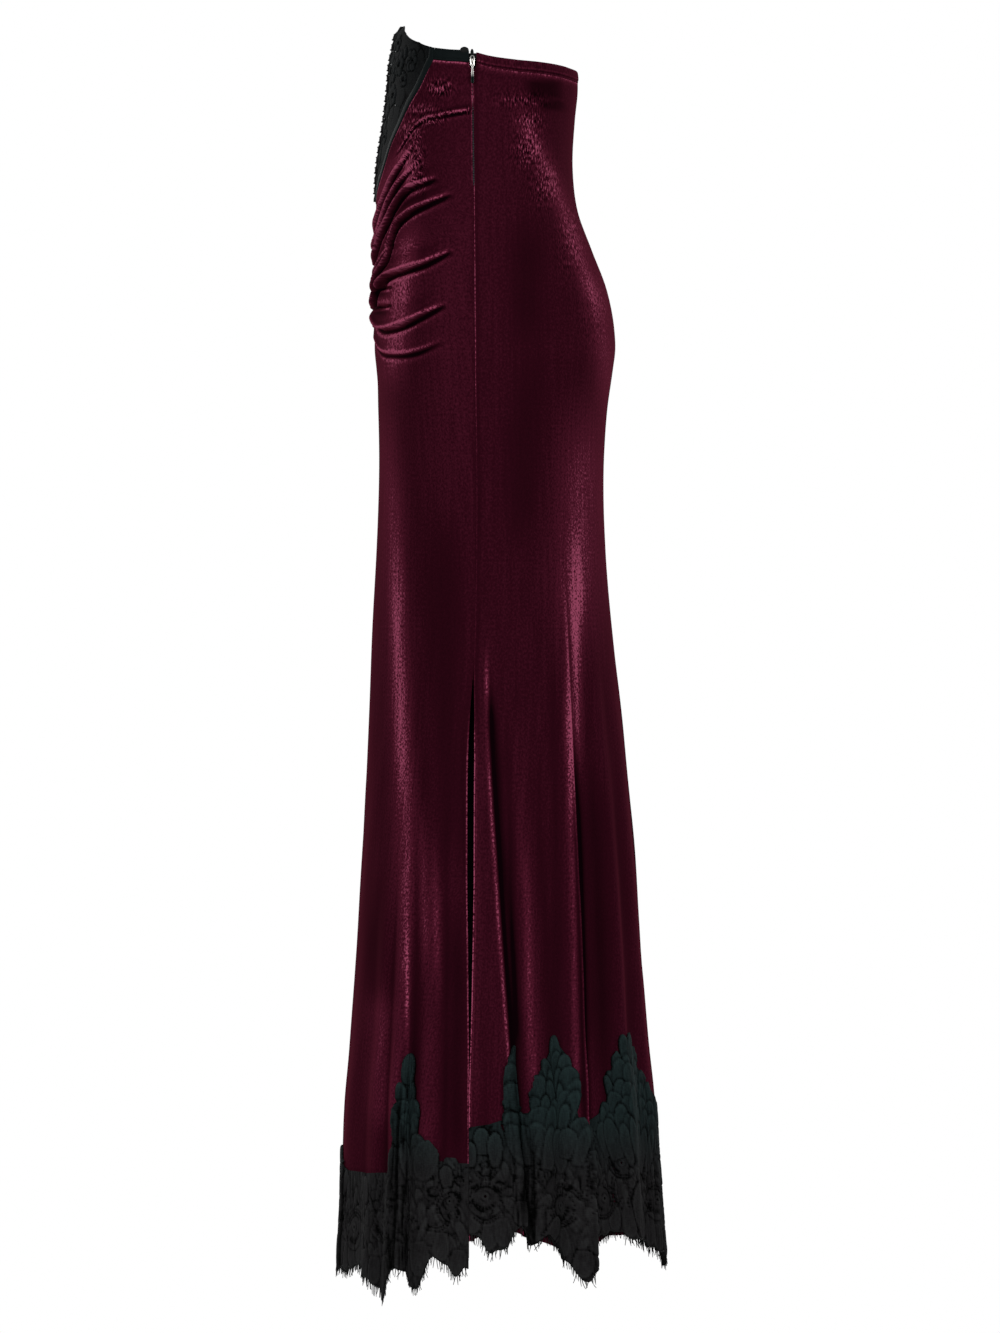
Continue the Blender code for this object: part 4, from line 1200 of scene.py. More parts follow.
@dataclass
class VelvetPanel:
    """One velvet panel, front or back, from the waist seam or the yoke down to the hem.

    Its top edge is turned in under the band and the binding. At the side seam the front's allowance lies
    under the back, and at the centre seams the left panel's lies under the right one. On the wearer's right
    it is wide enough to close the slit from behind.
    """

    half: Half
    side: Side
    finishes: Finishes
    wall: float = 1.5
    columns: int = 118
    upper_rows: int = 215
    lower_rows: int = 110
    upper_end: float = -312.0
    tuck_depth: float = 2.8
    tuck_width: float = 3.0
    sag: float = 1.0
    mean_radius: float = 120.0
    flat_start: float = 400.0

    @property
    def name(self) -> str:
        """The node that the panel stands for."""
        return f"{self.half.value}_{self.side.word}"

    @property
    def low(self) -> float:
        """The turn at which the panel starts."""
        return self.half.pick(0.0, SIDE_SEAM)

    @property
    def high(self) -> float:
        """The turn at which the panel stops."""
        return self.half.pick(SIDE_SEAM, CENTRE_BACK)

    def opening(self, height: Floats) -> Floats:
        """The side seam's opening: the slit, and the zip on the wearer's left."""
        gap = np.maximum(SLIT.straight(height), SEAM_GAP)
        return np.maximum(gap, ZIP_GAP.straight(height)) if self.side is Side.LEFT else gap

    def parts(self) -> Floats:
        """Parts across the panel, closer together at the side seam and along the sharpest folds.

        The columns share out evenly the running sum of a density, which is 1 plus a bell at each such turn.

        Returns:
            The parts, from 0 to 1.
        """
        turn = np.degrees(np.linspace(self.low, self.high, 4000))
        density = 1 + 9 * np.exp(-np.abs(turn - 90) / 1.3)
        for centre, width, extra in ((101, 8, 1.2), (128.5, 5, 1.8), (54, 6, 0.5)):
            density = density + extra * bump(turn, centre, width)
        share = np.concatenate([[0], np.cumsum(density[1:])])
        return np.interp(np.linspace(0, share[-1], self.columns), share, np.linspace(0, 1, len(turn)))

    def grid(self) -> tuple[Floats, Floats]:
        """Turns and heights of the panel's grid, close together over the hips and wider apart below.

        Returns:
            Turns in radians on the wearer's left, and heights in mm.
        """
        part = self.parts()[None, :]
        turn = self.low + (self.high - self.low) * part
        top = self.half.pick(yoke_line, below_band)(turn) - SEAM_GAP
        hem = VELVET_HEM.around(turn)
        upper = np.linspace(0, 1, self.half.pick(self.upper_rows, self.upper_rows // 2))[:, None]
        lower = np.linspace(0, 1, self.lower_rows)[1:, None]
        over, under = top + (self.upper_end - top) * upper, self.upper_end + (hem - self.upper_end) * lower
        height = np.concatenate([over, under])
        side_gap, scale = self.opening(height) / 2, FORM.millimetres_round
        gaps = self.half.pick((SEAM_GAP / 2, side_gap), (side_gap, SEAM_GAP / 2))
        start = self.low + gaps[0] / scale(np.full_like(height, self.low), height)
        stop = self.high - gaps[1] / scale(np.full_like(height, self.high), height)
        return start + (stop - start) * part, height

    def drape(self, turn: Floats, height: Floats, from_side: Floats) -> Floats:
        """Small unevenness: long soft waves, puckers along the side seam, and the roll of the seam's edge.

        Args:
            turn: Turns on the wearer's left, radians.
            height: Heights, mm.
            from_side: Distances from the side seam, mm.

        Returns:
            How far the cloth stands off the form, mm.
        """
        seed = self.half.pick(11, 23) + (5 if self.side is Side.RIGHT else 0)
        across = turn * self.mean_radius
        long_waves = self.sag * ripples(across, height, (90, 260), (-0.5, 0.5), seed)
        waves = 0.35 * ripples(across, height, (26, 60), (-0.35, 0.35), seed + 1)
        lift = long_waves * ease(-20, -160, height) + waves * ease(-300, -700, height)
        puckers = ripples(across * 0, height, (11, 19), (1.5, 1.6), seed + 2)
        lift = lift + 0.16 * np.exp(-from_side / 6.0) * puckers
        if self.half is Half.BACK:
            open_edge = ease(-540, -600, height)
            return lift + (0.25 + 0.35 * open_edge) * bump(from_side, 0.4, 0.5)
        return lift - 0.25 * bump(from_side, 0, 0.6)

    def tone(self, y: Floats, z: Floats, bend: Floats, from_side: Floats, from_top: Floats) -> Floats:
        """The painted shade and sheen mark: painted highlight on ridges and at the edges, painted shade in
        hollows, with the painted sheen and shade bands.

        Args:
            y: Places from front to back, mm.
            z: Heights, mm.
            bend: The cloth's bend, per mm.
            from_side: Distances from the side seam, mm.
            from_top: Distances from the top edge, mm.

        Returns:
            The mark's value at each place.
        """
        in_slit, zipped = ease(-560, -620, z), ease(-112, -104, z)
        away = np.maximum(ease(1.5, 3.5, from_side), 0.5 * in_slit)
        # Painted highlight on ridges and painted shade in hollows, by the bend, round the body's tone.
        total = 0.338 + np.clip(np.where(bend < 0, 2.4, 1.5) * bend, -0.7, 0.5) * away
        for sheen in self.half.pick(FRONT_SHEENS_AND_SHADES, BACK_SHEENS_AND_SHADES):
            total = total + sheen.at(y, z)
        # A painted highlight along the seam where the zip is closed.
        closed = 0.4 * bump(z, -31, 9) * bump(from_side, 0, 0.8)
        if self.half is Half.BACK:
            # A painted highlight along the back's seam edge and the slit's edge, and painted shade just
            # beside it.
            line = (0.16 + 0.34 * ease(-420, -200, z)) * (1 - zipped) * bump(from_side, 0.4, 0.45)
            line = line + 0.4 * in_slit * bump(from_side, 1.2, 1.2)
            return total + line + closed - 0.06 * bump(from_side, 3.0, 1.5)
        # A painted highlight along the front's edge at the slit and the zip, and along its turned top.
        edge = (0.35 * in_slit + 0.3 * zipped) * bump(from_side, 0.4, 0.6)
        return total + edge + closed + 0.16 * bump(from_top, 0, 1.0)

    def tucked(self, turn: Floats, height: Floats, lift: Floats) -> tuple[Floats, Floats, Floats]:
        """Adds the turned-in rows at the top and the allowances at the seams, as columns past an edge.

        Args:
            turn: Turns of the shown grid, radians.
            height: Heights, mm.
            lift: How far its points stand off the form, mm.

        Returns:
            Turns, heights and lifts of the whole grid.
        """
        depths = np.array([0.35, 0.8, 1.0])
        ends = [(-1, self.high)] if self.half is Half.FRONT else []
        if self.side is Side.LEFT:
            ends.append((0, self.low) if self.half is Half.FRONT else (-1, self.high))
        for column, seam in ends:
            at_side = seam == SIDE_SEAM
            scale = FORM.millimetres_round(turn[:, column], height[:, column])
            gap = self.opening(height[:, column]) if at_side else np.zeros(len(height))
            if at_side and self.side is Side.LEFT:
                shown = ease(1.2, 0.4, gap)
            else:
                shown = np.ones(len(height))
            if at_side and self.side is Side.RIGHT:
                width = self.tuck_width + gap
            else:
                width = self.tuck_width * shown
            sign = -1 if column == 0 else 1
            past = np.stack([np.minimum(0.35, 0.9 * shown), 0.9 * shown, width + 0.3], 1)
            extra_turn = turn[:, [column]] + sign * past * shown[:, None] / scale[:, None]
            extra_lift = lift[:, [column]] - self.tuck_depth * depths * (0.35 + 0.65 * shown)[:, None]
            extra_height = height[:, [column] * len(depths)]
            pairs = ((turn, extra_turn), (height, extra_height), (lift, extra_lift))
            turn, height, lift = (
                np.hstack([new[:, ::-1], old] if column == 0 else [old, new]) for old, new in pairs
            )
        rise, depth = np.array([[3.4], [0.9], [0.25]]), np.array([[1.9], [1.7], [0.9]])
        top_turn, top_height, top_lift = turn[[0, 0, 0]], height[:1] + rise, lift[:1] - depth
        return np.vstack([top_turn, turn]), np.vstack([top_height, height]), np.vstack([top_lift, lift])

    def build(self) -> Body:
        """Builds the panel and puts it in the place of its CAD node.

        Returns:
            The new object.
        """
        turn, height = self.grid()
        columns = turn.shape[1]
        edge = FORM.place(turn, height)
        seam_column = self.half.pick(-1, 0)
        from_side = np.linalg.norm(edge - edge[:, seam_column][:, None], axis=-1)
        lift = self.drape(turn, height, from_side)
        first = turn[:, :1]
        turn, height, lift = self.tucked(turn, height, lift)
        before = int(np.argmin(np.abs(turn[3] - first[0])))
        signed = turn * self.side.value
        outer = FORM.place(signed, height, lift)
        normals = grid_normals(outer) * self.side.value
        inner = outer - normals * self.wall
        bend = grid_bend(outer, normals)
        wide = np.zeros(turn.shape)
        wide[3:, before : before + columns] = from_side
        wide[:3, before : before + columns] = from_side[:1]
        under = np.maximum(height[3:4] - height, 0) * 0.6
        y, z = outer[..., 1], outer[..., 2]
        crush = np.max([patch.at(y, z) for patch in self.half.pick(FRONT_CRUSHES, BACK_CRUSHES)], axis=0)
        across = arc_lengths(outer)
        flat = np.stack([across + self.flat_start * (self.side is Side.RIGHT), height], axis=-1)
        marks = {"pile": self.tone(y, z, bend, wide, under), "crush": crush}
        cloth = Cloth.of_grid(outer, inner, flat, marks, self.side)
        body = cloth.make(self.name + "_velvet", [self.finishes.velvet, self.finishes.backing])
        dress(body, (self.name,))
        size = (float(across.max()) * MM, float(np.ptp(height)) * MM)
        cloth_area(outer)
        return body


def cloth_area(points: Floats) -> float:
    """Area of a grid in square metres, from its quads' diagonals: half the length of their cross product."""
    first, second = points[1:, 1:] - points[:-1, :-1], points[1:, :-1] - points[:-1, 1:]
    return float(np.linalg.norm(np.cross(first, second), axis=-1).sum() / 2) * MM * MM


def dress(body: Body, nodes: Sequence[str], rides: str = "skirt") -> None:
    """Lets a piece ride on its body and stand for its CAD nodes, which are hidden, and logs its triangles.

    Args:
        body: The piece.
        nodes: The CAD nodes that it stands for.
        rides: The body that it rides on.
    """
    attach(body, rides)
    if nodes:
        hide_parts(*nodes)
    faces = sum(len(p.vertices) - 2 for p in body.data.polygons)
    log.info("%s: %d triangles", body.name, faces)


# ------------------------------------------------------------------------------------------------ yoke


@dataclass
class Waistband:
    """One piece of the waistband: a folded strip, gently rounded, along the waist's edge."""

    half: Half
    side: Side
    finishes: Finishes
    wall: float = 1.2
    columns: int = 70
    rows: int = 13
    puff: float = 0.7
    zip_room: float = 3.5

    def build(self) -> Body:
        """Builds the strip: its outer face bulges by puff times the sine of the part down it.

        Returns:
            The new object.
        """
        low, high = self.half.pick((YOKE_END, SIDE_SEAM), (SIDE_SEAM, CENTRE_BACK))
        zip_room = self.zip_room if self.side is Side.LEFT else 0.0
        scale = FORM.millimetres_round(np.array([low, high]), np.zeros(2))
        rooms = self.half.pick((0.0, zip_room), (zip_room, 0.0))
        start, stop = low + (SEAM_GAP / 2 + rooms[0]) / scale[0], high - (SEAM_GAP / 2 + rooms[1]) / scale[1]
        turn = np.linspace(start, stop, self.columns)[None, :]
        part = np.linspace(0, 1, self.rows)[:, None]
        turn = turn + 0 * part
        height = waist_edge(turn) - BAND_DEPTH * part
        signed = turn * self.side.value
        across = arc_lengths(FORM.place(signed, height))
        rolled = self.puff * np.sin(math.pi * part) ** 0.6
        rolled = rolled + 0.12 * ripples(across, height, (9, 30), (-0.4, 0.4), 31)
        rolled = rolled - 0.5 * bump(part, 0.86, 0.05)
        outer = FORM.place(signed, height, rolled)
        normals = grid_normals(outer) * self.side.value
        inner = outer - normals * (self.wall + rolled[..., None] * 0.5)
        flat = np.stack([across, height], axis=-1)
        # Painted highlight on the strip's bulge and painted shade in its crease, by the bend.
        pile = 0.3 + np.clip(1.2 * grid_bend(outer, normals), -0.3, 0.35)
        cloth = Cloth.of_grid(outer, inner, flat, {"pile": pile, "crush": 0.1 + 0 * pile}, self.side)
        node = f"waistband_{self.half.value}_{self.side.word}"
        satin = self.half is Half.FRONT
        outside = self.finishes.satin if satin else self.finishes.velvet
        body = cloth.make(node + "_strip", [outside])
        dress(body, (node,))
        return body


@dataclass
class YokeBinding:
    """The folded satin strip along one edge of the yoke, from the point at the centre front to the waist."""

    side: Side
    finishes: Finishes
    width: float = 7.0
    tip: float = 12.0
    wall: float = 1.2
    along: int = 150
    across: int = 11
    puff: float = 0.9

    def lines(self, turn: Floats) -> tuple[Floats, Floats, Floats]:
        """The outer edge's heights, and the inner edge's turns and heights, square across by the width.

        Args:
            turn: Turns of places along the outer edge, radians.

        Returns:
            The outer edge's heights, the inner edge's turns, and its heights.
        """
        outer = yoke_line(turn)
        scale = FORM.millimetres_round(turn, outer)
        slope = np.gradient(outer, turn) / scale
        length = np.hypot(1, slope)
        inner_turn = np.maximum(turn - self.width * slope / length / scale, 0)
        inner = outer + self.width / length
        near = 1 - ease(0, 0.16, turn)
        return outer, inner_turn * (1 - near), inner + near * (self.tip - self.width / length)

    def build(self) -> Body:
        """Builds the strip as a grid along the edge and across its width, domed by a fourth power.

        Returns:
            The new object.
        """
        turn = np.linspace(0, YOKE_END, self.along)
        outer, inner_turn, inner = self.lines(turn)
        top = waist_edge(np.array([turn[-1], inner_turn[-1]]))
        steps = np.linspace(0, 1, 12)[1:]
        outer = np.concatenate([outer, outer[-1] + (top[0] - outer[-1]) * steps])
        inner = np.concatenate([inner, inner[-1] + (top[1] - inner[-1]) * steps])
        outer_turn = np.concatenate([turn, np.full(len(steps), turn[-1])])
        inner_turn = np.concatenate([inner_turn, np.full(len(steps), inner_turn[-1])])
        centre = SEAM_GAP / 2 / FORM.millimetres_round(np.zeros(1), outer[:1])
        outer_turn, inner_turn = np.maximum(outer_turn, centre), np.maximum(inner_turn, centre)
        part = np.linspace(0, 1, self.across)[:, None]
        turns = inner_turn + (outer_turn - inner_turn) * part
        heights = inner + (outer - inner) * part
        signed = turns * self.side.value
        dome = 0.2 + self.puff * (1 - (2 * part - 1) ** 4) + 0 * turns
        face = FORM.place(signed, heights, dome)
        flat = np.stack([arc_lengths(face), np.broadcast_to(part * self.width, turns.shape)], axis=-1)
        face = face + 0.1 * ripples(flat[..., 0], heights, (14, 40), (-0.5, 0.5), 41)[..., None]
        normals = grid_normals(face) * self.side.value
        back = face - normals * (self.wall + 0.5 * dome[..., None])
        cloth = Cloth.of_grid(face, back, flat, side=self.side)
        node = f"yoke_binding_{self.side.word}"
        body = cloth.make(node + "_satin", [self.finishes.satin])
        dress(body, (node,))
        return body


# ------------------------------------------------------------------------------------------------ lace


# Stands for a distance longer than any that counts between two motifs, mm.
FAR = 50.0


@dataclass
class LaceField:
    """Relief, tone and holes of lace over flat places, painted motif by motif.

    Relief is in mm, tone runs from 0 in a pit to 1 on a cord, being painted shade in pits and grooves and a
    painted highlight on cords and domes, hole is the distance to the nearest hole's edge and cover how far
    inside the nearest petal a place is, both in mm.
    """

    u: Floats
    v: Floats
    ground: float = 0.44

    def __post_init__(self) -> None:
        """Starts as plain ground, parted by wandering seams where uneven waves cross zero, sunk and darkened
        as painted shade.
        """
        waves = ripples(self.u, self.v, (17, 34), (0, 3.1), 91)
        slope = 2 * math.pi / 24
        seam = bump(waves / slope, 0, 0.5) * ease(-0.1, 0.5, ripples(self.u, self.v, (30, 60), (0, 3.1), 92))
        self.relief = -0.4 * seam
        self.tone = self.ground * (1 - 0.8 * seam)
        self.hole = np.full(self.u.shape, FAR)
        self.cover = np.full(self.u.shape, -FAR)

    def near(self, centre: Place, reach: float) -> Mask:
        """Places within reach of a centre."""
        return (np.abs(self.u - centre[0]) < reach) & (np.abs(self.v - centre[1]) < reach)

    def groove(self, here: Mask, depth: Floats, rim: Floats) -> None:
        """Cuts a groove darkened as painted shade and raises a cord beside it lightened as painted highlight,
        each from 0 to 1.
        """
        self.relief[here] = self.relief[here] - 0.7 * depth + 0.35 * rim
        self.tone[here] = np.clip(self.tone[here] * (1 - 0.95 * depth) + 0.12 * rim, 0, 1)

    def medallion(self, centre: Place, radius: float, turned: float) -> None:
        """A round flower: an eyelet in a ring, a broken circle, and a crescent of bars on one side.

        Args:
            centre: Its flat place, mm.
            radius: Its radius, mm.
            turned: The crescent's heading, radians.
        """
        here = self.near(centre, radius * 2.2)
        x, y = self.u[here] - centre[0], self.v[here] - centre[1]
        r, spin = np.hypot(x, y), np.arctan2(y, x)
        inside = r < radius
        dome = np.clip(1 - (r / radius) ** 2, 0, 1)
        self.relief[here] = np.where(inside, 0.25 + 0.5 * dome, self.relief[here])
        # The disc lightens a little towards its middle: a painted highlight.
        self.tone[here] = np.where(inside, 0.44 + 0.05 * dome, self.tone[here])
        lobe = ease(0.1, 0.7, np.cos(spin - turned))
        bars = 0.6 + 0.4 * np.cos(spin * radius * 0.8 * 2 * math.pi / 3.2)
        large = radius > 8
        circle = 1.0 * bump(r, radius, 1.0) * ease(-0.2, 0.3, np.sin(1.5 * (spin - turned)))
        crescent = 1.4 * bump(r, radius * 0.78, 0.5 + 0.11 * radius) * lobe * bars
        below = ease(-0.3, -0.75, y / np.maximum(r, 0.1)) * large
        wide = 0.7 * bump(r, radius * 1.5, 0.9) * below
        off = np.hypot(x + 0.2 * radius * math.cos(turned), y + 0.2 * radius * math.sin(turned))
        ring = 0.7 * bump(off, radius * 0.4, 0.7) * ease(-0.9, 0.2, np.cos(2 * spin + turned))
        beat = bump(np.mod(spin * radius / 3.1, 1), 0.5, 0.22)
        dots = bump(r, radius * 1.25, 0.8) * large * (1 - below) * beat
        depth = np.clip(circle + crescent + wide + ring + dots, 0, 1)
        self.groove(here, depth, bump(off, radius * 0.25, 0.8) + bump(r, radius * 1.4, 0.7) * below)
        self.hole[here] = np.minimum(self.hole[here], off - (radius > 6) * radius * 0.12)

    def petal(
        self,
        foot: Place,
        tip: Place,
        width: float,
        lift: float,
        veins: float = 0.0,
        line: float = 0.8,
        puff: float = 0.7,
    ) -> None:
        """A petal painted over what is there: smooth and domed, with a round tip and a thin dark outline of
        painted shadow.

        It is half an ellipse beyond its widest place and narrows to its foot.

        Args:
            foot: Flat place of its foot, mm.
            tip: Flat place of its tip, mm.
            width: Its width, mm.
            lift: How far its edge stands over the ground, mm.
            veins: How dark the veins are that slant from its middle, from 0 to 1.
            line: How dark its outline of painted shadow is, from 0 to 1.
            puff: How high it is domed, mm.
        """
        length = math.hypot(tip[0] - foot[0], tip[1] - foot[1])
        here = self.near(((foot[0] + tip[0]) / 2, (foot[1] + tip[1]) / 2), length * 0.75 + width)
        way_x, way_y = (tip[0] - foot[0]) / length, (tip[1] - foot[1]) / length
        x, y = self.u[here] - foot[0], self.v[here] - foot[1]
        along, over = x * way_x + y * way_y, np.abs(x * way_y - y * way_x)
        part = along / length - 0.58
        taper = 0.93 if veins else 0.7
        far = np.where(part > 0, part / 0.42, part / 0.58 * taper)
        edge = (1 - np.hypot(over / (width / 2), far)) * width / 2
        edge = np.minimum(edge, along + 0.5)
        inside = edge > 0
        dome = np.clip(edge / (width / 2), 0, 1) ** 0.5
        stripes = veins * (bump(np.mod((along - over) / 3.4, 1), 0.5, 0.2) + bump(over, 0, 0.5)) * (edge > 1)
        relief = lift + puff * dome - 0.3 * stripes
        cord = bump(edge, 1.1, 0.8)
        # Painted shade towards the foot, painted highlight towards the tip, on the dome and on the cord along
        # the edge.
        tone = 0.4 + 0.12 * np.clip(part + 0.5, 0, 1) + 0.05 * dome - 0.2 * stripes + 0.12 * cord
        shade = bump(edge, -0.5, 0.75) * (edge < 0)
        self.relief[here] = np.where(inside, relief, self.relief[here] - 0.5 * shade)
        self.tone[here] = np.where(inside, tone, self.tone[here] * (1 - line * shade))
        self.cover[here] = np.maximum(self.cover[here], edge)

    def flower(self, centre: Place, radius: float, petals: int, turned: float) -> None:
        """A flower of petals round a small eyed disc.

        Args:
            centre: Its flat place, mm.
            radius: Its radius, mm.
            petals: Number of petals.
            turned: The first petal's heading, radians.
        """
        for i in range(petals):
            angle = turned + 2 * math.pi * i / petals
            reach = (math.cos(angle), math.sin(angle))
            foot = (centre[0] + reach[0] * radius * 0.12, centre[1] + reach[1] * radius * 0.12)
            tip = (centre[0] + reach[0] * radius, centre[1] + reach[1] * radius)
            self.petal(foot, tip, radius * 4.6 / petals, 0.3, 0.3, 0.45)
        here = self.near(centre, radius * 0.5)
        r = np.hypot(self.u[here] - centre[0], self.v[here] - centre[1])
        self.relief[here] = np.where(r < radius * 0.24, 1.4, self.relief[here])
        self.groove(here, 0.5 * bump(r, radius * 0.26, 0.6), bump(r, radius * 0.17, 0.7))

    def ladder(self, foot: Place, head: Place, bend: float, length: float) -> None:
        """Two bowed rows of square pits between thin cords, from a foot to a head, bowed sideways by bend.

        Args:
            foot: Flat place of its foot, mm.
            head: Flat place of its head, mm.
            bend: How far it bows sideways, mm.
            length: Length of a rung, mm.
        """
        rise = math.hypot(head[0] - foot[0], head[1] - foot[1])
        here = self.near(((foot[0] + head[0]) / 2, (foot[1] + head[1]) / 2), rise * 0.6 + length)
        way_x, way_y = (head[0] - foot[0]) / rise, (head[1] - foot[1]) / rise
        x, y = self.u[here] - foot[0], self.v[here] - foot[1]
        along = x * way_x + y * way_y
        over = x * way_y - y * way_x - bend * np.sin(math.pi * np.clip(along / rise, 0, 1))
        within = ease(-2, 0, along) * ease(rise + 2, rise, along)
        pits = bump(np.mod(along / 4.2, 1), 0.5, 0.24)
        rows = bump(over, -length * 0.3, 1.0) * pits + bump(over, length * 0.3, 0.8) * (1 - pits) * 0.8
        lines = 0.7 * bump(over, length * 0.62, 0.55) * ease(0.2, 0.5, np.sin(along / 9))
        rim = bump(np.abs(over), length * 0.5, 0.7)
        self.groove(here, np.clip(rows + lines, 0, 1) * within, rim * within)

    def dotted_arc(self, centre: Place, radius: float, start: float, stop: float, pitch: float) -> None:
        """A row of small pits along an arc, between a groove inside it and a fine cord outside.

        Args:
            centre: Flat place of its centre, mm.
            radius: Its radius, mm.
            start: Its first direction, degrees.
            stop: Its last direction, degrees.
            pitch: Distance from pit to pit, mm.
        """
        here = self.near(centre, radius + 5)
        x, y = self.u[here] - centre[0], self.v[here] - centre[1]
        r, spin = np.hypot(x, y), np.degrees(np.arctan2(y, x))
        within = (np.mod(spin - start, 360) < stop - start).astype(float)
        dots = bump(np.mod(np.radians(spin) * radius / pitch, 1), 0.5, 0.26)
        pit = np.clip(bump(r, radius, 1.0) * dots + bump(r, radius - 2.8, 0.6), 0, 1) * within
        self.groove(here, pit, bump(r, radius + 2.2, 0.8) * within)


@dataclass(frozen=True)
class HemFlat:
    """The hem laid flat: millimetres along the oval at one height, from the centre front."""

    level: float = -990.0

    def table(self) -> tuple[Floats, Floats]:
        """Places round the left half.

        Returns:
            Turns in radians, and the millimetres along the oval to each.
        """
        turns = np.linspace(0, CENTRE_BACK, 721)
        speed = FORM.millimetres_round(turns, np.full_like(turns, self.level))
        return turns, np.concatenate([[0], np.cumsum((speed[1:] + speed[:-1]) / 2 * np.diff(turns))])

    def at(self, degrees: float) -> float:
        """Millimetres from the centre front to a turn on the left, given in degrees."""
        return float(np.interp(math.radians(degrees), *self.table()))

    @property
    def seam(self) -> float:
        """Millimetres from the centre front to the side seam."""
        return self.at(90.0)

    @property
    def whole(self) -> float:
        """Millimetres all round."""
        return 2 * self.at(180.0)

    def turn(self, flat: Floats) -> Floats:
        """The turn at a flat place. Places past the centre back are on the wearer's right.

        Args:
            flat: Flat places, mm.

        Returns:
            Their turns, radians.
        """
        turns, along = self.table()
        whole = 2 * along[-1]
        left = np.where(flat > whole / 2, whole - flat, flat)
        found = np.sign(left) * np.interp(np.abs(left), along, turns)
        return np.where(flat > whole / 2, -found, found)


HEM_FLAT = HemFlat()
# Motifs at a smaller turn than this one, in degrees, are on the front, and the others on the back.
LACE_SPLIT = 88.0

# Edges of the lace: heights against turns in degrees.
LACE_FRONT_TOP = Line.of(
    (0, -950), (7, -952), (15.5, -963), (25, -971), (40, -973), (54.5, -972), (56.4, -940), (57.0, -912),
    (58.6, -888), (60, -871), (61.8, -867), (63.8, -871), (65.2, -886), (66.3, -908), (67.8, -914),
    (69.6, -938), (73.2, -950), (77, -962), (87.6, -964),
)  # fmt: skip
LACE_BACK_TOP = Line.of(
    (87.8, -931), (96.3, -927), (100, -923), (101.2, -896), (103, -860), (104.4, -862), (105.4, -922),
    (107.8, -914), (109.4, -904), (110.8, -880), (114.5, -866), (117.3, -854), (120.2, -859), (122.8, -868),
    (124.2, -906), (124.9, -931), (127.3, -948), (129.6, -925), (134.2, -917), (136.6, -909), (138.4, -884),
    (141.9, -872), (144, -856), (147.3, -852), (152.6, -858), (156.6, -878), (163, -903), (172, -927),
    (180, -938),
)  # fmt: skip
LACE_FRONT_EDGE = Line.of(
    (0, -1058), (12, -1046), (27, -1058), (36, -1052), (45, -1068), (54, -1080), (59, -1056), (64, -1062),
    (70, -1074), (74, -1048), (80, -1052), (84.5, -1062), (87.6, -1056),
)  # fmt: skip
LACE_BACK_EDGE = Line.of(
    (87.8, -1026), (92, -1026), (96.5, -1042), (101, -1036), (104.8, -1018), (107.5, -1036), (111.5, -1028),
    (115.5, -1037), (119.5, -1050), (124.5, -1068), (127.5, -1036), (133, -1028), (139, -1024),
    (143.5, -1032), (149.5, -1028), (157, -1038), (168, -1050), (180, -1040),
)  # fmt: skip

ROSETTES = (
    # degrees, height, radius, heading of the crescent
    (10, -1008, 10, 4.2), (31, -1024, 12, 5.0), (50, -1018, 11, 4.0), (82.5, -998, 8, 0.0),
    (95, -996, 11, 4.7), (117.5, -1004, 11, 5.3), (134, -997, 11, 3.6), (141.5, -965, 9, 0.2),
    (160, -1000, 11, 4.0), (171, -992, 10, 5.0),
)  # fmt: skip
ARCS = (
    # degrees, height, radius, first and last direction of a row of pits, degrees
    (95, -1004, 13, 215, 325), (95, -970, 9, 200, 340), (117.5, -1004, 17, 200, 330),
    (83, -1005, 14, 100, 260), (31, -1024, 18, 20, 160), (76, -1012, 12, 230, 350),
    (117.5, -1004, 21, 20, 110), (113, -975, 12, 90, 200), (134, -997, 17, 250, 380),
    (128, -1015, 10, 30, 150), (146, -1000, 14, 60, 200), (52, -1018, 17, 200, 330),
    (66, -1020, 10, 20, 170), (42, -990, 12, 180, 300), (141.5, -965, 14, 100, 300),
    (160, -1000, 17, 20, 150), (10, -1008, 16, 200, 340),
)  # fmt: skip
LADDERS = (
    # degrees and height of the foot, of the head, and the bow
    (110, -985, 111.2, -915, 3), (137, -970, 144.5, -915, -3), (74, -1000, 77.5, -960, 4),
    (23, -1030, 24, -985, 3), (124.6, -1000, 125, -950, 2), (113.5, -975, 114.5, -930, 3),
    (140, -1005, 139, -975, -4), (82, -985, 84.5, -965, 2), (131, -965, 134, -930, -2),
    (47, -1000, 48, -980, 2), (152, -1000, 153, -925, 3), (61, -930, 61.5, -905, 1),
    (166, -1010, 165, -950, 3),
)  # fmt: skip
LEAVES = (
    # degrees and height of the foot, of the tip, width, veins
    (94.0, -957, 93.8, -934, 14, 0.0), (90.8, -968, 90.3, -946, 10, 0.3), (98.0, -968, 97.8, -938, 12, 0.3),
    (119.5, -962, 119, -936, 13, 0.0), (148, -1032, 147, -982, 30, 0.5), (41, -1000, 39.5, -976, 15, 0.0),
    (22, -992, 25, -972, 13, 0.0), (5, -990, 8, -966, 16, 0.0), (80.5, -985, 79.5, -967, 12, 0.0),
    (73, -978, 70, -955, 11, 0.4), (61.2, -896, 61.9, -869, 15, 0.0), (127.6, -1030, 131, -1008, 13, 0.0),
    (112, -1030, 116, -1012, 13, 0.0), (165, -985, 168, -962, 14, 0.4),
)  # fmt: skip
RINGS = (
    # degrees, height, radius of the small rings between the rosettes
    (16, -1001, 4), (31, -1007, 4), (39.5, -1009, 4), (22, -1012, 4), (75, -990, 4), (83.5, -1009, 5),
    (86, -980, 4), (91, -983, 4), (99, -985, 4), (94.6, -966, 4), (120, -985, 4), (108, -1008, 4),
    (131, -975, 4), (126.5, -985, 4), (150, -955, 4), (156, -975, 5), (163, -960, 5), (176, -960, 5),
    (57, -1000, 4),
)  # fmt: skip
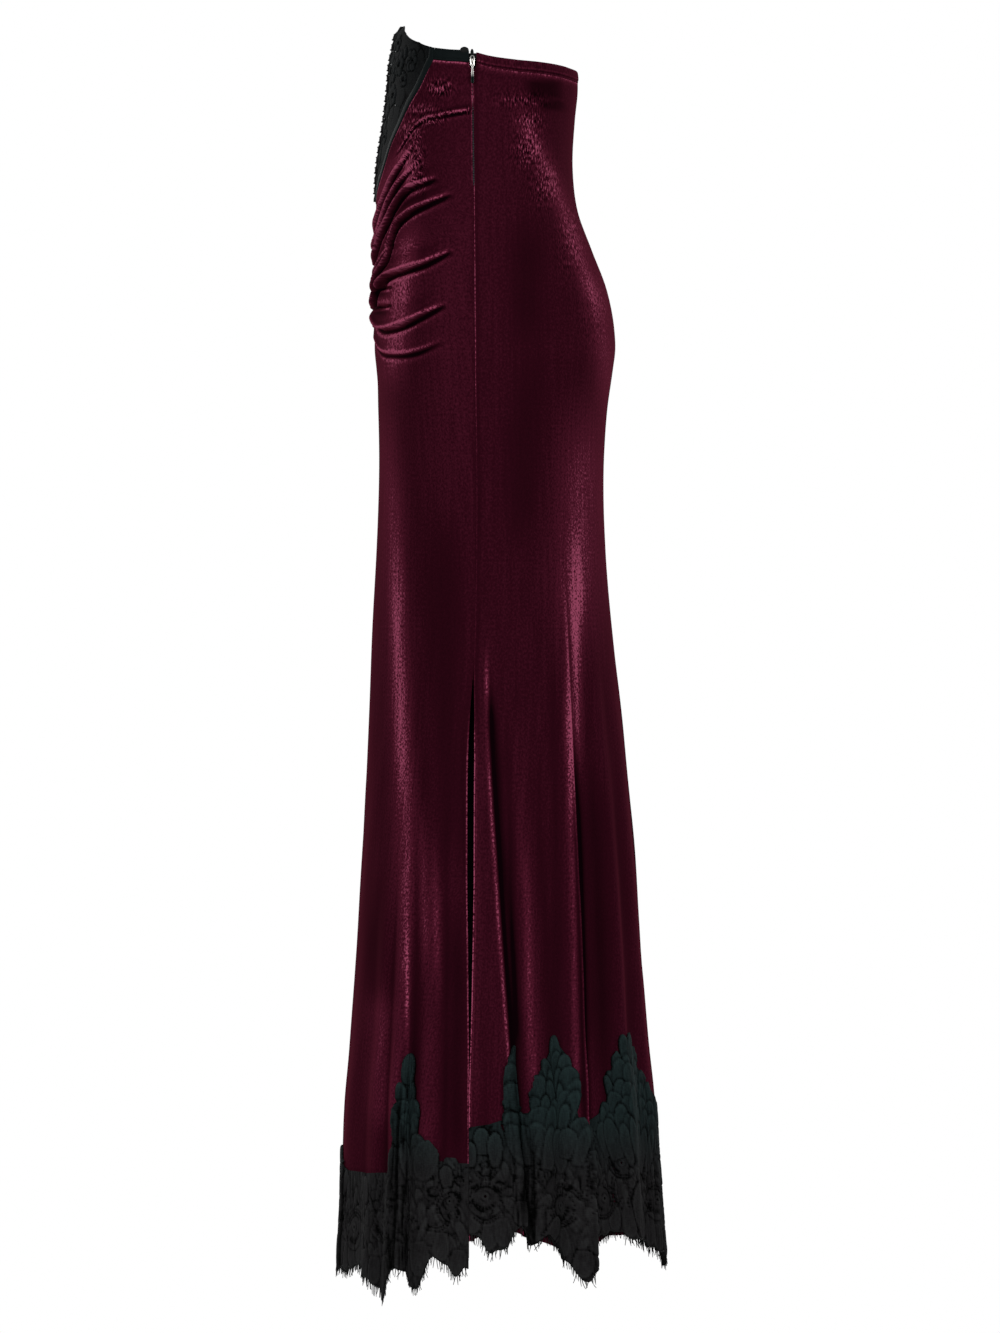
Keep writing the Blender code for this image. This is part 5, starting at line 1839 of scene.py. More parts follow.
FRONT_FANS = (
    # degrees, width in degrees, height of the pleats, where they start
    (61.5, 7, 1.3, -880),
)
BACK_FANS = ((105.5, 4.5, 1.9, -870), (128, 3, 1.0, -900), (160, 6, 0.6, -900))


@dataclass(frozen=True)
class Point:
    """One of the border's points, which a stack of petals fills: its turn, its tip and where it ends."""

    turn: float
    tip: float
    foot: float


FRONT_POINTS = (Point(61.0, -893, -955),)
BACK_POINTS = (Point(103.2, -862, -915), Point(117.0, -853, -940), Point(147.6, -851, -938))


@dataclass(frozen=True)
class Lap:
    """A long fold where the lace laps over itself: its turn, the upper layer's side of it and its top."""

    turn: float
    side: int
    top: float


LAPS = (Lap(59.4, 1, -905), Lap(66.5, 1, -985), Lap(22, -1, -960), Lap(126.6, -1, -925), Lap(109.6, 1, -950))


@dataclass
class LaceBorder:
    """The deep lace at the hem, over the velvet, with a cut-out upper edge, eyelets and a scalloped hem."""

    half: Half
    finishes: Finishes
    top: float = -846.0
    bottom: float = -1090.0
    cell: float = 1.15
    row_cell: float = 1.2
    far_cell: float = 2.8
    wall: float = 1.0
    lift: float = 1.3
    scallop: float = 13.5
    scallop_depth: float = 2.8
    row_pitch: float = 13.0
    leaf_top: float = -962.0
    leaf_rows: int = 9
    leaf_pitch: float = 9.5
    point_reach: float = 48.0

    @property
    def ends(self) -> Place:
        """Flat places of the side seams, where the border starts and stops."""
        seam = HEM_FLAT.seam
        return self.half.pick((-seam, seam), (seam, HEM_FLAT.whole - seam))

    def mirror(self, u: Floats) -> Floats:
        """Distance from the border's own centre line, as a flat place on the left."""
        middle = HEM_FLAT.whole / 2
        return self.half.pick(np.abs(u), np.where(u > middle, 2 * middle - u, u))

    def edge_line(self, u: Floats) -> Floats:
        """Height of the lower edge: its rounded tongues, with small scallops along them.

        Args:
            u: Flat places along the hem, mm.

        Returns:
            The edge's heights, mm.
        """
        own = self.mirror(u)
        degrees = np.degrees(HEM_FLAT.turn(own))
        line = self.half.pick(LACE_FRONT_EDGE, LACE_BACK_EDGE)
        tongues = 0.45 * line.straight(degrees) + 0.55 * line.smooth(degrees)
        return tongues - self.scallop_depth * (np.abs(np.sin(math.pi * own / self.scallop)) - 0.5)

    def top_line(self, u: Floats) -> Floats:
        """Height of the upper edge before the petals round it off."""
        degrees = np.degrees(HEM_FLAT.turn(self.mirror(u)))
        return self.half.pick(LACE_FRONT_TOP, LACE_BACK_TOP).straight(degrees)

    def flat_place(self, degrees: float, side: Side) -> float:
        """Flat place of a turn on the wearer's left, or of its twin on the right."""
        own = HEM_FLAT.at(degrees)
        return own if side is Side.LEFT else self.half.pick(-own, HEM_FLAT.whole - own)

    def twins(
        self, motifs: Sequence[tuple[float, ...]], turns: Sequence[int] = (0,)
    ) -> Iterator[list[float]]:
        """This half's motifs with their turns as flat places, each on the left and then on the right.

        Args:
            motifs: Rows of numbers that start with a turn in degrees.
            turns: Which numbers of a row are turns.

        Returns:
            The rows, one after the other.
        """
        for motif in motifs:
            if (motif[0] < LACE_SPLIT) == (self.half is Half.FRONT):
                for side in Side:
                    yield [self.flat_place(x, side) if i in turns else x for i, x in enumerate(motif)]

    def paint(self, u: Floats, v: Floats) -> LaceField:
        """All motifs of the border over flat places.

        Args:
            u: Flat places along the hem, mm.
            v: Heights, mm.

        Returns:
            The painted lace.
        """
        lace = LaceField(u, v)
        self.paint_field(lace)
        self.paint_tongues(lace)
        rings = [(*ring, 0.3 * ring[0]) for ring in RINGS]
        for place, height, radius, turned in self.twins([*rings, *ROSETTES]):
            lace.medallion((place, height), radius, turned)
        for place, height, radius, start, stop in self.twins(ARCS):
            lace.dotted_arc((place, height), radius, start, stop, 3.0)
        for low, foot, high, head, bend in self.twins(LADDERS, (0, 2)):
            lace.ladder((low, foot), (high, head), bend, 6.0)
        for low, foot, high, tip, width, veins in self.twins(LEAVES, (0, 2)):
            lace.petal((low, foot), (high, tip), width, 0.3, veins)
        for point in self.half.pick(FRONT_POINTS, BACK_POINTS):
            for side in Side:
                self.paint_point(lace, point, self.flat_place(point.turn, side))
        return lace

    def paint_field(self, lace: LaceField) -> None:
        """The filling between the motifs: rows of small leaves of all sizes, most of them upright.

        Args:
            lace: The lace to paint on.
        """
        rng = np.random.default_rng(self.half.pick(61, 62))
        start, stop = float(lace.u.min()), float(lace.u.max())
        start, stop = self.half.pick((-40.0, stop), (start, HEM_FLAT.whole / 2 + 40))
        for row in range(self.leaf_rows):
            for place in np.arange(start, stop, self.leaf_pitch):
                wobble = rng.uniform(-1, 1, 6)
                heading = 1.57 + 0.6 * wobble[0]
                length, width = 19 + 7 * wobble[1], 6.4 + 2.4 * wobble[2]
                height = self.leaf_top - self.row_pitch * row + 4 * wobble[4] - length / 2
                foot = (place + 4.7 * (row % 2) + 3 * wobble[3], height)
                tip = (foot[0] + length * math.cos(heading), foot[1] + length * math.sin(heading))
                lace.petal(foot, tip, width, 0.1, 0.5 * (wobble[5] > 0.5), 0.15 + 0.33 * abs(wobble[5]), 0.25)

    def paint_point(self, lace: LaceField, point: Point, place: float) -> None:
        """Rows of petals from the tip down, each over the one above it and as wide as the point is there.

        Args:
            lace: The lace to paint on.
            point: The point.
            place: Its flat place, mm.
        """
        rng = np.random.default_rng(int(point.turn * 10))
        steps = 192
        around = place + np.linspace(-self.point_reach, self.point_reach, 2 * steps + 1)
        outline = self.top_line(around)
        for row, tip in enumerate(np.arange(point.tip, point.foot, -self.row_pitch)):
            at = tip - 9
            outside = outline < at
            left = around[:steps][outside[:steps]].max(initial=place - self.point_reach)
            right = around[steps + 1 :][outside[steps + 1 :]].min(initial=place + self.point_reach)
            width = right - left
            count = max(1, round(width / 11 - 0.2))
            for i in range(count):
                part = (i + 0.5) / count
                wobble = rng.uniform(-1, 1, 5)
                middle = left + width * part
                spread = (part - 0.5) * 11
                petal_width = min(16.0, width / count + 3.6) * (1 + 0.35 * wobble[3])
                drop = 6 * abs(part - 0.5) * (count > 1) + 6.5 * wobble[2] * (row > 0)
                tip_at = (middle + spread + 3.5 * wobble[0], tip - drop)
                foot_at = (middle - spread + 6 * wobble[1], tip - drop - 32 - 7 * wobble[4])
                outline_tone = rng.uniform(0.2, 0.75)
                lace.petal(foot_at, tip_at, petal_width, 0.4, 0.3 * (wobble[1] > 0.4), outline_tone, 0.6)

    def paint_tongues(self, lace: LaceField) -> None:
        """Rounded leaves hanging along the lower edge.

        Args:
            lace: The lace to paint on.
        """
        start, stop = float(lace.u.min()), float(lace.u.max())
        pitch = self.scallop
        first = math.ceil(start / pitch) * pitch - pitch / 2
        places = np.arange(first, stop, pitch)
        for i, (place, edge) in enumerate(zip(places, self.edge_line(places))):
            foot = (place + 3.0 * math.sin(2.1 * i), edge + 26 + 4 * math.sin(1.7 * i))
            lace.petal(foot, (place, edge + 0.4), pitch * 1.04, 0.2, 0.0, 0.35 + 0.3 * math.sin(2.9 * i))

    def reach(self, u: Floats, v: Floats, lace: LaceField) -> Floats:
        """How far inside the cloth a place is: inside the outline or a point's petal, and outside holes.

        Args:
            u: Flat places along the hem, mm.
            v: Heights, mm.
            lace: The painted lace.

        Returns:
            The distance in mm, under 0 outside the cloth.
        """
        step = 1.0
        lines = (self.top_line, self.edge_line)
        slopes = [np.hypot(1, (line(u + step) - line(u - step)) / (2 * step)) for line in lines]
        to_top = (self.top_line(u) - v) / slopes[0]
        below_top = to_top - (1.0 + 2.8 * ease(-958, -930, v))
        in_petal = np.where(v > -965, np.minimum(lace.cover, to_top + 3.0), -FAR)
        above_edge = (v - self.edge_line(u)) / slopes[1]
        inside_seam = self.half.pick(1, -1) * (HEM_FLAT.seam - self.mirror(u)) - SEAM_GAP / 2
        outline = np.minimum(np.maximum(below_top, in_petal), np.minimum(above_edge, inside_seam))
        return np.minimum(outline, np.where(outline > 1.2, lace.hole, FAR))

    def pleats(self, u: Floats, v: Floats) -> tuple[Floats, Floats]:
        """Fine pleats that fan out below the points, and the long folds of the laps.

        Args:
            u: Flat places along the hem, mm.
            v: Heights, mm.

        Returns:
            Their height in mm, and their shade from 0 to 1.
        """
        own = self.mirror(u)
        degrees = np.degrees(HEM_FLAT.turn(own))
        creases = ripples(u, v, (5, 15), (-0.22, 0.22), 81)
        # The hollow is painted shade in the valleys of the creases and pleats.
        lift, hollow = 0.28 * creases, 0.16 * np.clip(-creases, 0, 1)
        for centre, width, tall, start in self.half.pick(FRONT_FANS, BACK_FANS):
            fan = (own - HEM_FLAT.at(centre)) / (1 + np.maximum(start - v, 0) / 110)
            wave = np.mod(fan / 3.1 + 0.5 * np.sin(v / 21 + fan) + 0.3 * np.sin(fan * 0.9), 1)
            here = bump(degrees, centre, width) * (1 - 0.4 * ease(-960, -900, v))
            lift = lift + tall * here * (0.5 - 0.5 * np.cos(2 * math.pi * wave))
            hollow = hollow + min(tall, 1) * here * bump(np.minimum(wave, 1 - wave), 0, 0.2)
        for lap in LAPS:
            past = (own - HEM_FLAT.at(lap.turn)) * lap.side
            mine = (lap.turn < LACE_SPLIT) == (self.half is Half.FRONT)
            deep = ease(lap.top + 12, lap.top - 25, v) * mine
            lift = lift + 2.6 * deep * ease(-0.9, 0.4, past) * np.exp(-np.maximum(past, 0) / 16)
            # A painted shadow under the edge of the lap's upper layer.
            hollow = hollow + deep * (bump(past, -1.3, 1.0) + 0.35 * bump(past, -3.0, 4.0) * (past < 0))
            # A painted highlight on the upper layer just past its edge.
            hollow = hollow - 0.25 * deep * bump(past, 1.4, 1.0)
        return lift, np.clip(hollow, -0.4, 1)

    def build(self) -> Body:
        """Builds the border: a flat grid cut along its outline and holes, then laid on the velvet.

        A grid point within half a cell of the outline is moved onto it along the distance's gradient, and
        quads that are left outside are dropped.

        Returns:
            The new object.
        """
        low, high = self.ends
        middle = (low + high) / 2
        left, right = self.half.pick(((middle, high), (low, middle)), ((low, middle), (middle, high)))
        across = [
            np.linspace(*span, round((span[1] - span[0]) / cell))
            for span, cell in ((left, self.cell), (right, self.far_cell))
        ]
        places = np.unique(np.concatenate(across))
        heights = np.linspace(self.top, self.bottom, round((self.top - self.bottom) / self.row_cell) + 1)
        v, u = np.meshgrid(heights, places, indexing="ij")
        inside = self.reach(u, v, self.paint(u, v))
        slope_v, slope_u = np.gradient(inside, heights, places)
        slope = np.maximum(slope_u**2 + slope_v**2, 0.25)
        snapped = np.abs(inside) < 0.5 * (self.cell + np.gradient(places)[None, :]) * 0.55
        move = np.where(snapped, inside / slope, 0.0)
        u, v = np.clip(u - move * slope_u, low, high), v - move * slope_v
        sign = np.where(snapped, 0, np.sign(inside)).ravel()
        groups = kept_faces(grid_faces(len(heights), len(places)), sign)
        used = np.unique(np.concatenate([g.ravel() for g in groups]))
        renumber = np.zeros(u.size, np.int64)
        renumber[used] = np.arange(len(used))
        groups = [renumber[g] for g in groups]
        u, v = u.ravel()[used], v.ravel()[used]
        lace = self.paint(u, v)
        lift, hollow = self.pleats(u, v)
        turn = HEM_FLAT.turn(u)
        from_seam = np.abs(self.mirror(u) - HEM_FLAT.seam)
        relief = lace.relief * 0.8 * ease(0, 2.5, from_seam) + lift
        base, normal = FORM.place(turn, v), FORM.facing(turn, v)
        outer = base + normal * (self.lift + self.wall + relief[:, None])
        inner = base + normal * (self.lift + 0.35 * relief[:, None])
        flat = np.stack([u, v], axis=-1)
        # The lace's tone, with the painted shade of the pleats and laps.
        marks = {"relief": lace.tone * (1 - 0.8 * hollow), "cast": ease(-985, -915, v)}
        cloth = Cloth(outer, inner, groups, flat, marks)
        node = f"lace_{self.half.value}"
        body = cloth.make(node + "_border", [self.finishes.lace])
        dress(body, (node,))
        fringe = Fringe(self).build()
        flat_area = sum(flat_areas(flat, group) for group in groups) * MM * MM
        size = ((high - low) * MM, float(np.ptp(v)) * MM)
        return body


def flat_areas(corners: Floats, group: Ints) -> float:
    """Total area of flat faces: half the sum of the cross products of successive corners."""
    x, y = corners[group, 0], corners[group, 1]
    return float(np.abs((x * np.roll(y, -1, 1) - y * np.roll(x, -1, 1)).sum(1)).sum() / 2)


def kept_faces(quads: Ints, sign: Floats) -> list[Ints]:
    """The quads inside an outline, and triangles where only one corner is outside.

    Args:
        quads: Corner indices.
        sign: 1 inside, 0 on the outline and -1 outside, for each point.

    Returns:
        Quads and triangles.
    """
    corners = sign[quads]
    outside, inside = (corners < 0).sum(1), (corners > 0).sum(1)
    whole = quads[(outside == 0) & (inside > 0)]
    partly = (outside == 1) & (inside > 0)
    first = np.argmax(corners[partly] < 0, axis=1)
    turns = (first[:, None] + np.arange(1, 4)) % 4
    return [whole, np.take_along_axis(quads[partly], turns, axis=1)]


@dataclass
class Fringe:
    """The eyelash fringe: a header cord under the lace's lower edge and fine threads hanging from it."""

    border: LaceBorder
    pitch: float = 1.9
    shortest: float = 6.0
    longest: float = 10.5
    thread: float = 0.6
    header: float = 0.7
    segments: int = 4

    def build(self) -> Body:
        """Builds the threads as thin tapering three-sided tubes that fan, droop and curl a little.

        Returns:
            The new object.
        """
        border = self.border
        low, high = border.ends
        fine = np.linspace(low + 0.6, high - 0.6, 3000)
        edge = border.edge_line(fine)
        along = np.concatenate([[0], np.cumsum(np.hypot(np.diff(fine), np.diff(edge)))])
        rng = np.random.default_rng(border.half.pick(71, 72))
        count = int(along[-1] / self.pitch)
        places = (np.arange(count) + rng.uniform(0.2, 0.8, count)) * self.pitch
        u, v = np.interp(places, along, fine), np.interp(places, along, edge)
        length = rng.uniform(self.shortest, self.longest, count)
        heading = rng.normal(0, 0.09, count)
        curl = rng.normal(0, 0.12, count)
        part = np.linspace(0, 1, self.segments + 1)[None, :]
        down = length[:, None] * part
        thread_u = u[:, None] + down * (heading[:, None] + curl[:, None] * part)
        thread_v = v[:, None] + 1.2 - down
        out = border.lift + 0.6 + 1.2 * part * rng.uniform(-0.4, 1.0, count)[:, None]
        turn = HEM_FLAT.turn(thread_u)
        paths = FORM.place(turn, thread_v) + FORM.facing(turn, thread_v) * out[..., None]
        radii = self.thread * (1 - 0.5 * part) + 0 * thread_u
        steps = np.linspace(0, along[-1], int(along[-1] / 2.0))
        cord_u, cord_v = np.interp(steps, along, fine), np.interp(steps, along, edge) + 0.2
        turn = HEM_FLAT.turn(cord_u)
        cord = FORM.place(turn, cord_v) + FORM.facing(turn, cord_v) * (border.lift + border.wall * 0.7)
        beat = self.header * (1 + 0.18 * np.cos(np.arange(len(steps)) * math.pi))
        points, groups = joined([tubes(paths, radii, 3), tubes(cord[None], beat[None], 5)])
        node = f"fringe_{border.half.value}"
        body = make_mesh(node + "_threads", points, groups, [border.finishes.thread], 80.0)
        dress(body, (node,))
        return body


YOKE_FLOWERS = (
    # place across and height, radius, petals
    (26, -8, 15, 7), (56, -2, 12, 6), (84, 0, 10, 6), (18, -50, 13, 6), (44, -30, 10, 6), (11, -86, 9, 5),
    (12, 20, 8, 5), (42, 16, 8, 5), (70, -16, 7, 5), (32, -66, 7, 5),
)  # fmt: skip
YOKE_LEAVES = (
    # foot, tip, width
    ((9, -28), (20, -36), 7), ((34, -44), (24, -34), 7), ((8, -112), (12, -98), 6), ((24, -88), (16, -70), 7),
    ((8, -8), (8, 8), 7), ((26, 8), (32, 20), 7), ((40, 2), (44, -12), 7), ((70, 2), (68, 12), 6),
    ((8, -70), (14, -64), 6), ((36, -18), (46, -12), 6),
)  # fmt: skip


@dataclass
class Yoke:
    """The black V yoke: satin under a flat lace whose motifs stand up a little, with jet beads on them."""

    finishes: Finishes
    wall: float = 1.2
    columns: int = 190
    rows: int = 110

    def build(self) -> Body:
        """Builds the yoke between its two bindings, in columns from the lower edge up to the waist's edge.

        Returns:
            The new object.
        """
        binding = YokeBinding(Side.LEFT, self.finishes)
        turn = np.linspace(0, YOKE_END, 400)
        _, inner_turn, inner = binding.lines(turn)
        part = np.linspace(-1, 1, self.columns)
        edge_turn = np.abs(part) * (inner_turn[-1] - 0.004)
        low = np.interp(edge_turn, inner_turn, inner) + SEAM_GAP
        high = waist_edge(edge_turn)
        rise = np.linspace(1, 0, self.rows)[:, None]
        height = low + (high - low) * rise
        turns = np.broadcast_to(np.sign(part) * edge_turn, height.shape)
        across = turns * YOKE_RADIUS
        lace = self.paint(across, height)
        edge = np.minimum((height - low) / 3.0, 1.0)
        relief = lace.relief * np.clip(edge, 0, 1) * 1.2
        outer = FORM.place(turns, height, relief)
        normals = grid_normals(outer)
        back = outer - normals * (self.wall + relief[..., None] * 0.6)
        flat = np.stack([across, height], axis=-1)
        cloth = Cloth.of_grid(outer, back, flat, {"relief": lace.tone * 0.68, "cast": np.array(0.35)})
        body = cloth.make("yoke_lace_over_satin", [self.finishes.lace, self.finishes.satin])
        dress(body, ("yoke",))
        return body

    def paint(self, u: Floats, v: Floats) -> LaceField:
        """The yoke's motifs, the same on both sides of the centre front: flowers, and leaves between them.

        Args:
            u: Flat places across, mm.
            v: Heights, mm.

        Returns:
            The painted lace.
        """
        lace = LaceField(u, v, 0.34)
        for side in (-1, 1):
            for x, y, radius, petals in YOKE_FLOWERS:
                lace.flower((side * x, y), radius, petals, 0.15 * x)
            for foot, tip, width in YOKE_LEAVES:
                lace.petal((side * foot[0], foot[1]), (side * tip[0], tip[1]), width, 0.35, 0.4, 0.5)
        return lace


@dataclass
class Braid:
    """The scalloped braid down the centre front, with a row of jet beads along it."""

    finishes: Finishes
    top: float = 31.0
    bottom: float = -123.0
    flat_size: Place = (10.0, 152.0)
    width: float = 9.0
    wall: float = 1.4
    scallop: float = 9.0
    rows: int = 260
    columns: int = 15

    def build(self) -> tuple[Body, Body]:
        """Builds the braid, whose width and thickness swell once a scallop, and its beads.

        Returns:
            The braid and its beads.
        """
        height = np.linspace(self.top, self.bottom, self.rows)[:, None]
        swell = np.abs(np.sin(math.pi * height / self.scallop))
        part = np.linspace(-1, 1, self.columns)[None, :]
        across = part * self.width / 2 * (0.82 + 0.3 * swell)
        dome = 0.5 + 1.3 * (0.35 + 0.65 * swell) * np.sqrt(np.clip(1 - part**2, 0, 1))
        dome = dome - 0.5 * bump(part, 0, 0.16)
        height = height + 0 * part
        turns = across / FORM.millimetres_round(np.zeros_like(across), height)
        outer = FORM.place(turns, height, self.wall + dome - 0.4)
        inner = FORM.place(turns, height, -0.5)
        # Lighter on the middle of each scallop's swell: a painted highlight.
        tone = 0.4 + 0.35 * swell * (1 - part**2)
        cloth = Cloth.of_grid(outer, inner, np.stack([across, height], axis=-1), {"relief": tone})
        body = cloth.make("yoke_braid_scalloped", [self.finishes.lace])
        dress(body, ("yoke_braid",))
        return body, self.beads()

    def beads(self) -> Body:
        """Small faceted beads at the scallops' tips and down the middle.

        Returns:
            The beads, as one object.
        """
        heights = np.arange(24.0, -120.0, -self.scallop)
        tips = [(side * 4.9, h - self.scallop / 2) for h in heights for side in (-1, 1)]
        places = np.array(tips + [(0.0, h) for h in heights])
        rng = np.random.default_rng(5)
        count = 26
        scattered_x = rng.uniform(8, 62, count) * rng.choice((-1, 1), count)
        scattered = np.stack([scattered_x, rng.uniform(-70, 14, count)], axis=1)
        limit = YOKE_EDGE.curved_around(np.abs(scattered[:, 0]) / YOKE_RADIUS + 0.12)
        scattered = scattered[scattered[:, 1] > limit + 8]
        places = np.concatenate([places, scattered])
        on_braid = np.abs(places[:, 0]) < 6
        scale = np.where(on_braid, FORM.millimetres_round(np.zeros(len(places)), places[:, 1]), YOKE_RADIUS)
        centres = FORM.place(places[:, 0] / scale, places[:, 1], np.where(on_braid, 2.6, 1.3))
        ball, faces = sphere(5, 8)
        size = rng.uniform(0.6, 0.85, len(centres))[:, None, None]
        points = (centres[:, None] + ball[None] * size).reshape(-1, 3)
        starts = (np.arange(len(centres)) * len(ball))[:, None, None]
        groups = [(g[None] + starts).reshape(-1, g.shape[1]) for g in faces]
        body = make_mesh("yoke_beads", points, groups, [self.finishes.bead], 20.0)
        dress(body, ())
        return body


def sphere(rings: int, sides: int) -> tuple[Floats, list[Ints]]:
    """A unit ball: rings of points between two poles, with quads between rings and triangles at the poles.

    Args:
        rings: Steps from pole to pole.
        sides: Steps round.

    Returns:
        Its points, and its groups of faces.
    """
    tilt = np.pi * np.arange(1, rings) / rings
    spin = 2 * np.pi * np.arange(sides) / sides
    wide, tall = np.sin(tilt)[:, None], np.cos(tilt)[:, None]
    ring = np.stack([wide * np.cos(spin), wide * np.sin(spin), tall + 0 * spin], -1)
    points = np.concatenate([ring.reshape(-1, 3), [[0, 0, 1], [0, 0, -1]]])
    index = np.arange((rings - 1) * sides).reshape(rings - 1, sides)
    a, b = index[:-1], index[1:]
    walls = np.stack([a, b, np.roll(b, -1, 1), np.roll(a, -1, 1)], axis=-1).reshape(-1, 4)
    top, bottom = (rings - 1) * sides, (rings - 1) * sides + 1
    first, last = index[0], index[-1]
    caps = [np.stack([np.full(sides, top), first, np.roll(first, -1)], -1)]
    caps.append(np.stack([np.full(sides, bottom), np.roll(last, -1), last], -1))
    return points, [walls, np.concatenate(caps)]


# ------------------------------------------------------------------------------------------------- zip


@dataclass
class Zip:
    """The side zip's tape, with its folded ends, and its closed coil."""

    finishes: Finishes
    tape_half: float = 6.0
    tape_length: float = 128.0
    tape_wall: float = 1.0
    tape_depth: float = 2.6
    pitch: float = 1.5
    tooth: float = 0.55

    def build(self) -> None:
        """Builds the tape, which carries the coil and the folded ends."""
        tape = self.tape()
        coil, ends = self.coil(), self.tape_ends()
        dress(tape, ("zip_tape",))
        dress(coil, ())
        dress(ends, ())

    def tape(self) -> Body:
        """The tape behind the seam, with two thickened edges beside the coil.

        Returns:
            The new object.
        """
        height = np.linspace(6.0, -118.0, 130)[:, None]
        across = np.linspace(-self.tape_half, self.tape_half, 13)[None, :]
        turn = SIDE_SEAM + across / FORM.millimetres_round(SIDE_SEAM + 0 * height, height)
        cord = 0.5 * bump(np.abs(across), 1.4, 0.6)
        height = height + 0 * across
        outer = FORM.place(turn, height, cord - self.tape_depth)
        inner = FORM.place(turn, height, -self.tape_depth - self.tape_wall)
        cloth = Cloth.of_grid(outer, inner, np.stack([across + 0 * height, height], axis=-1))
        return cloth.make("zip_tape_woven", [self.finishes.tape])

    def tape_ends(self) -> Body:
        """The tape's folded ends, which stand up a little over the waist: flattened balls.

        Returns:
            The new object.
        """
        ball, faces = sphere(7, 12)
        points = []
        for degrees, height, size in ((84.4, 8.7, (1.5, 3.9, 3.0)), (89.8, 6.4, (1.4, 1.5, 3.4))):
            points.append(ball * size + FORM.place(np.array([math.radians(degrees)]), np.array([height])))
        groups = [np.concatenate([g, g + len(ball)]) for g in faces]
        return make_mesh("zip_tape_folded_ends", np.concatenate(points), groups, [self.finishes.thread], 80.0)

    def coil(self) -> Body:
        """The closed coil: short rounded teeth from the two sides in turn, each a small three-point tube.

        Returns:
            The new object.
        """
        heights = np.arange(-6.0, ZIP_END, -self.pitch)
        hands = np.where(np.arange(len(heights)) % 2, 1.0, -1.0)
        scale = FORM.millimetres_round(SIDE_SEAM + 0 * heights, heights)
        offsets = np.array([-0.7, 0.0, 0.7])
        turn = SIDE_SEAM + hands[:, None] * offsets / scale[:, None]
        lift = np.array([-1.1, -0.5, -0.9])
        paths = FORM.place(turn, heights[:, None] + 0 * turn, lift[None, :] + 0 * turn)
        points, groups = tubes(paths, np.full(turn.shape, self.tooth), 6)
        return make_mesh("zip_coil", points, groups, [self.finishes.coil], 50.0)


def plate(outline: Floats, low: float, high: float, bevel: float) -> tuple[Floats, list[Ints]]:
    """A flat plate with eased edges: an outline's rings, drawn in at both faces, and two caps.

    Args:
        outline: Places across and up, mm, in an order that turns left.
        low: Where the plate starts outwards, mm.
        high: Where it ends, mm.
        bevel: How far its edges are eased, mm.

    Returns:
        Points across, up and out, and groups of faces.
    """
    along = np.roll(outline, -1, 0) - np.roll(outline, 1, 0)
    inward = unit(np.stack([-along[:, 1], along[:, 0]], -1))
    rings = []
    for inset, out in ((bevel, low), (0.3 * bevel, low + 0.3 * bevel), (0, low + bevel), (0, high - bevel),
                       (0.3 * bevel, high - 0.3 * bevel), (bevel, high)):  # fmt: skip
        rings.append(np.column_stack([outline + inward * inset, np.full(len(outline), out)]))
    index = np.arange(len(rings) * len(outline)).reshape(len(rings), -1)
    a, b = index[:-1], index[1:]
    walls = np.stack([a, np.roll(a, -1, 1), np.roll(b, -1, 1), b], -1).reshape(-1, 4)
    return np.concatenate(rings), [walls, index[:1, ::-1], index[-1:]]


def joined(parts: Sequence[tuple[Floats, list[Ints]]]) -> tuple[Floats, list[Ints]]:
    """Several shapes as one set of points and groups of faces.

    Args:
        parts: Points and groups of faces of each shape.

    Returns:
        The points and the groups of all.
    """
    starts = np.cumsum([0] + [len(points) for points, _ in parts])
    groups = [g + start for (_, faces), start in zip(parts, starts) for g in faces]
    return np.concatenate([points for points, _ in parts]), groups


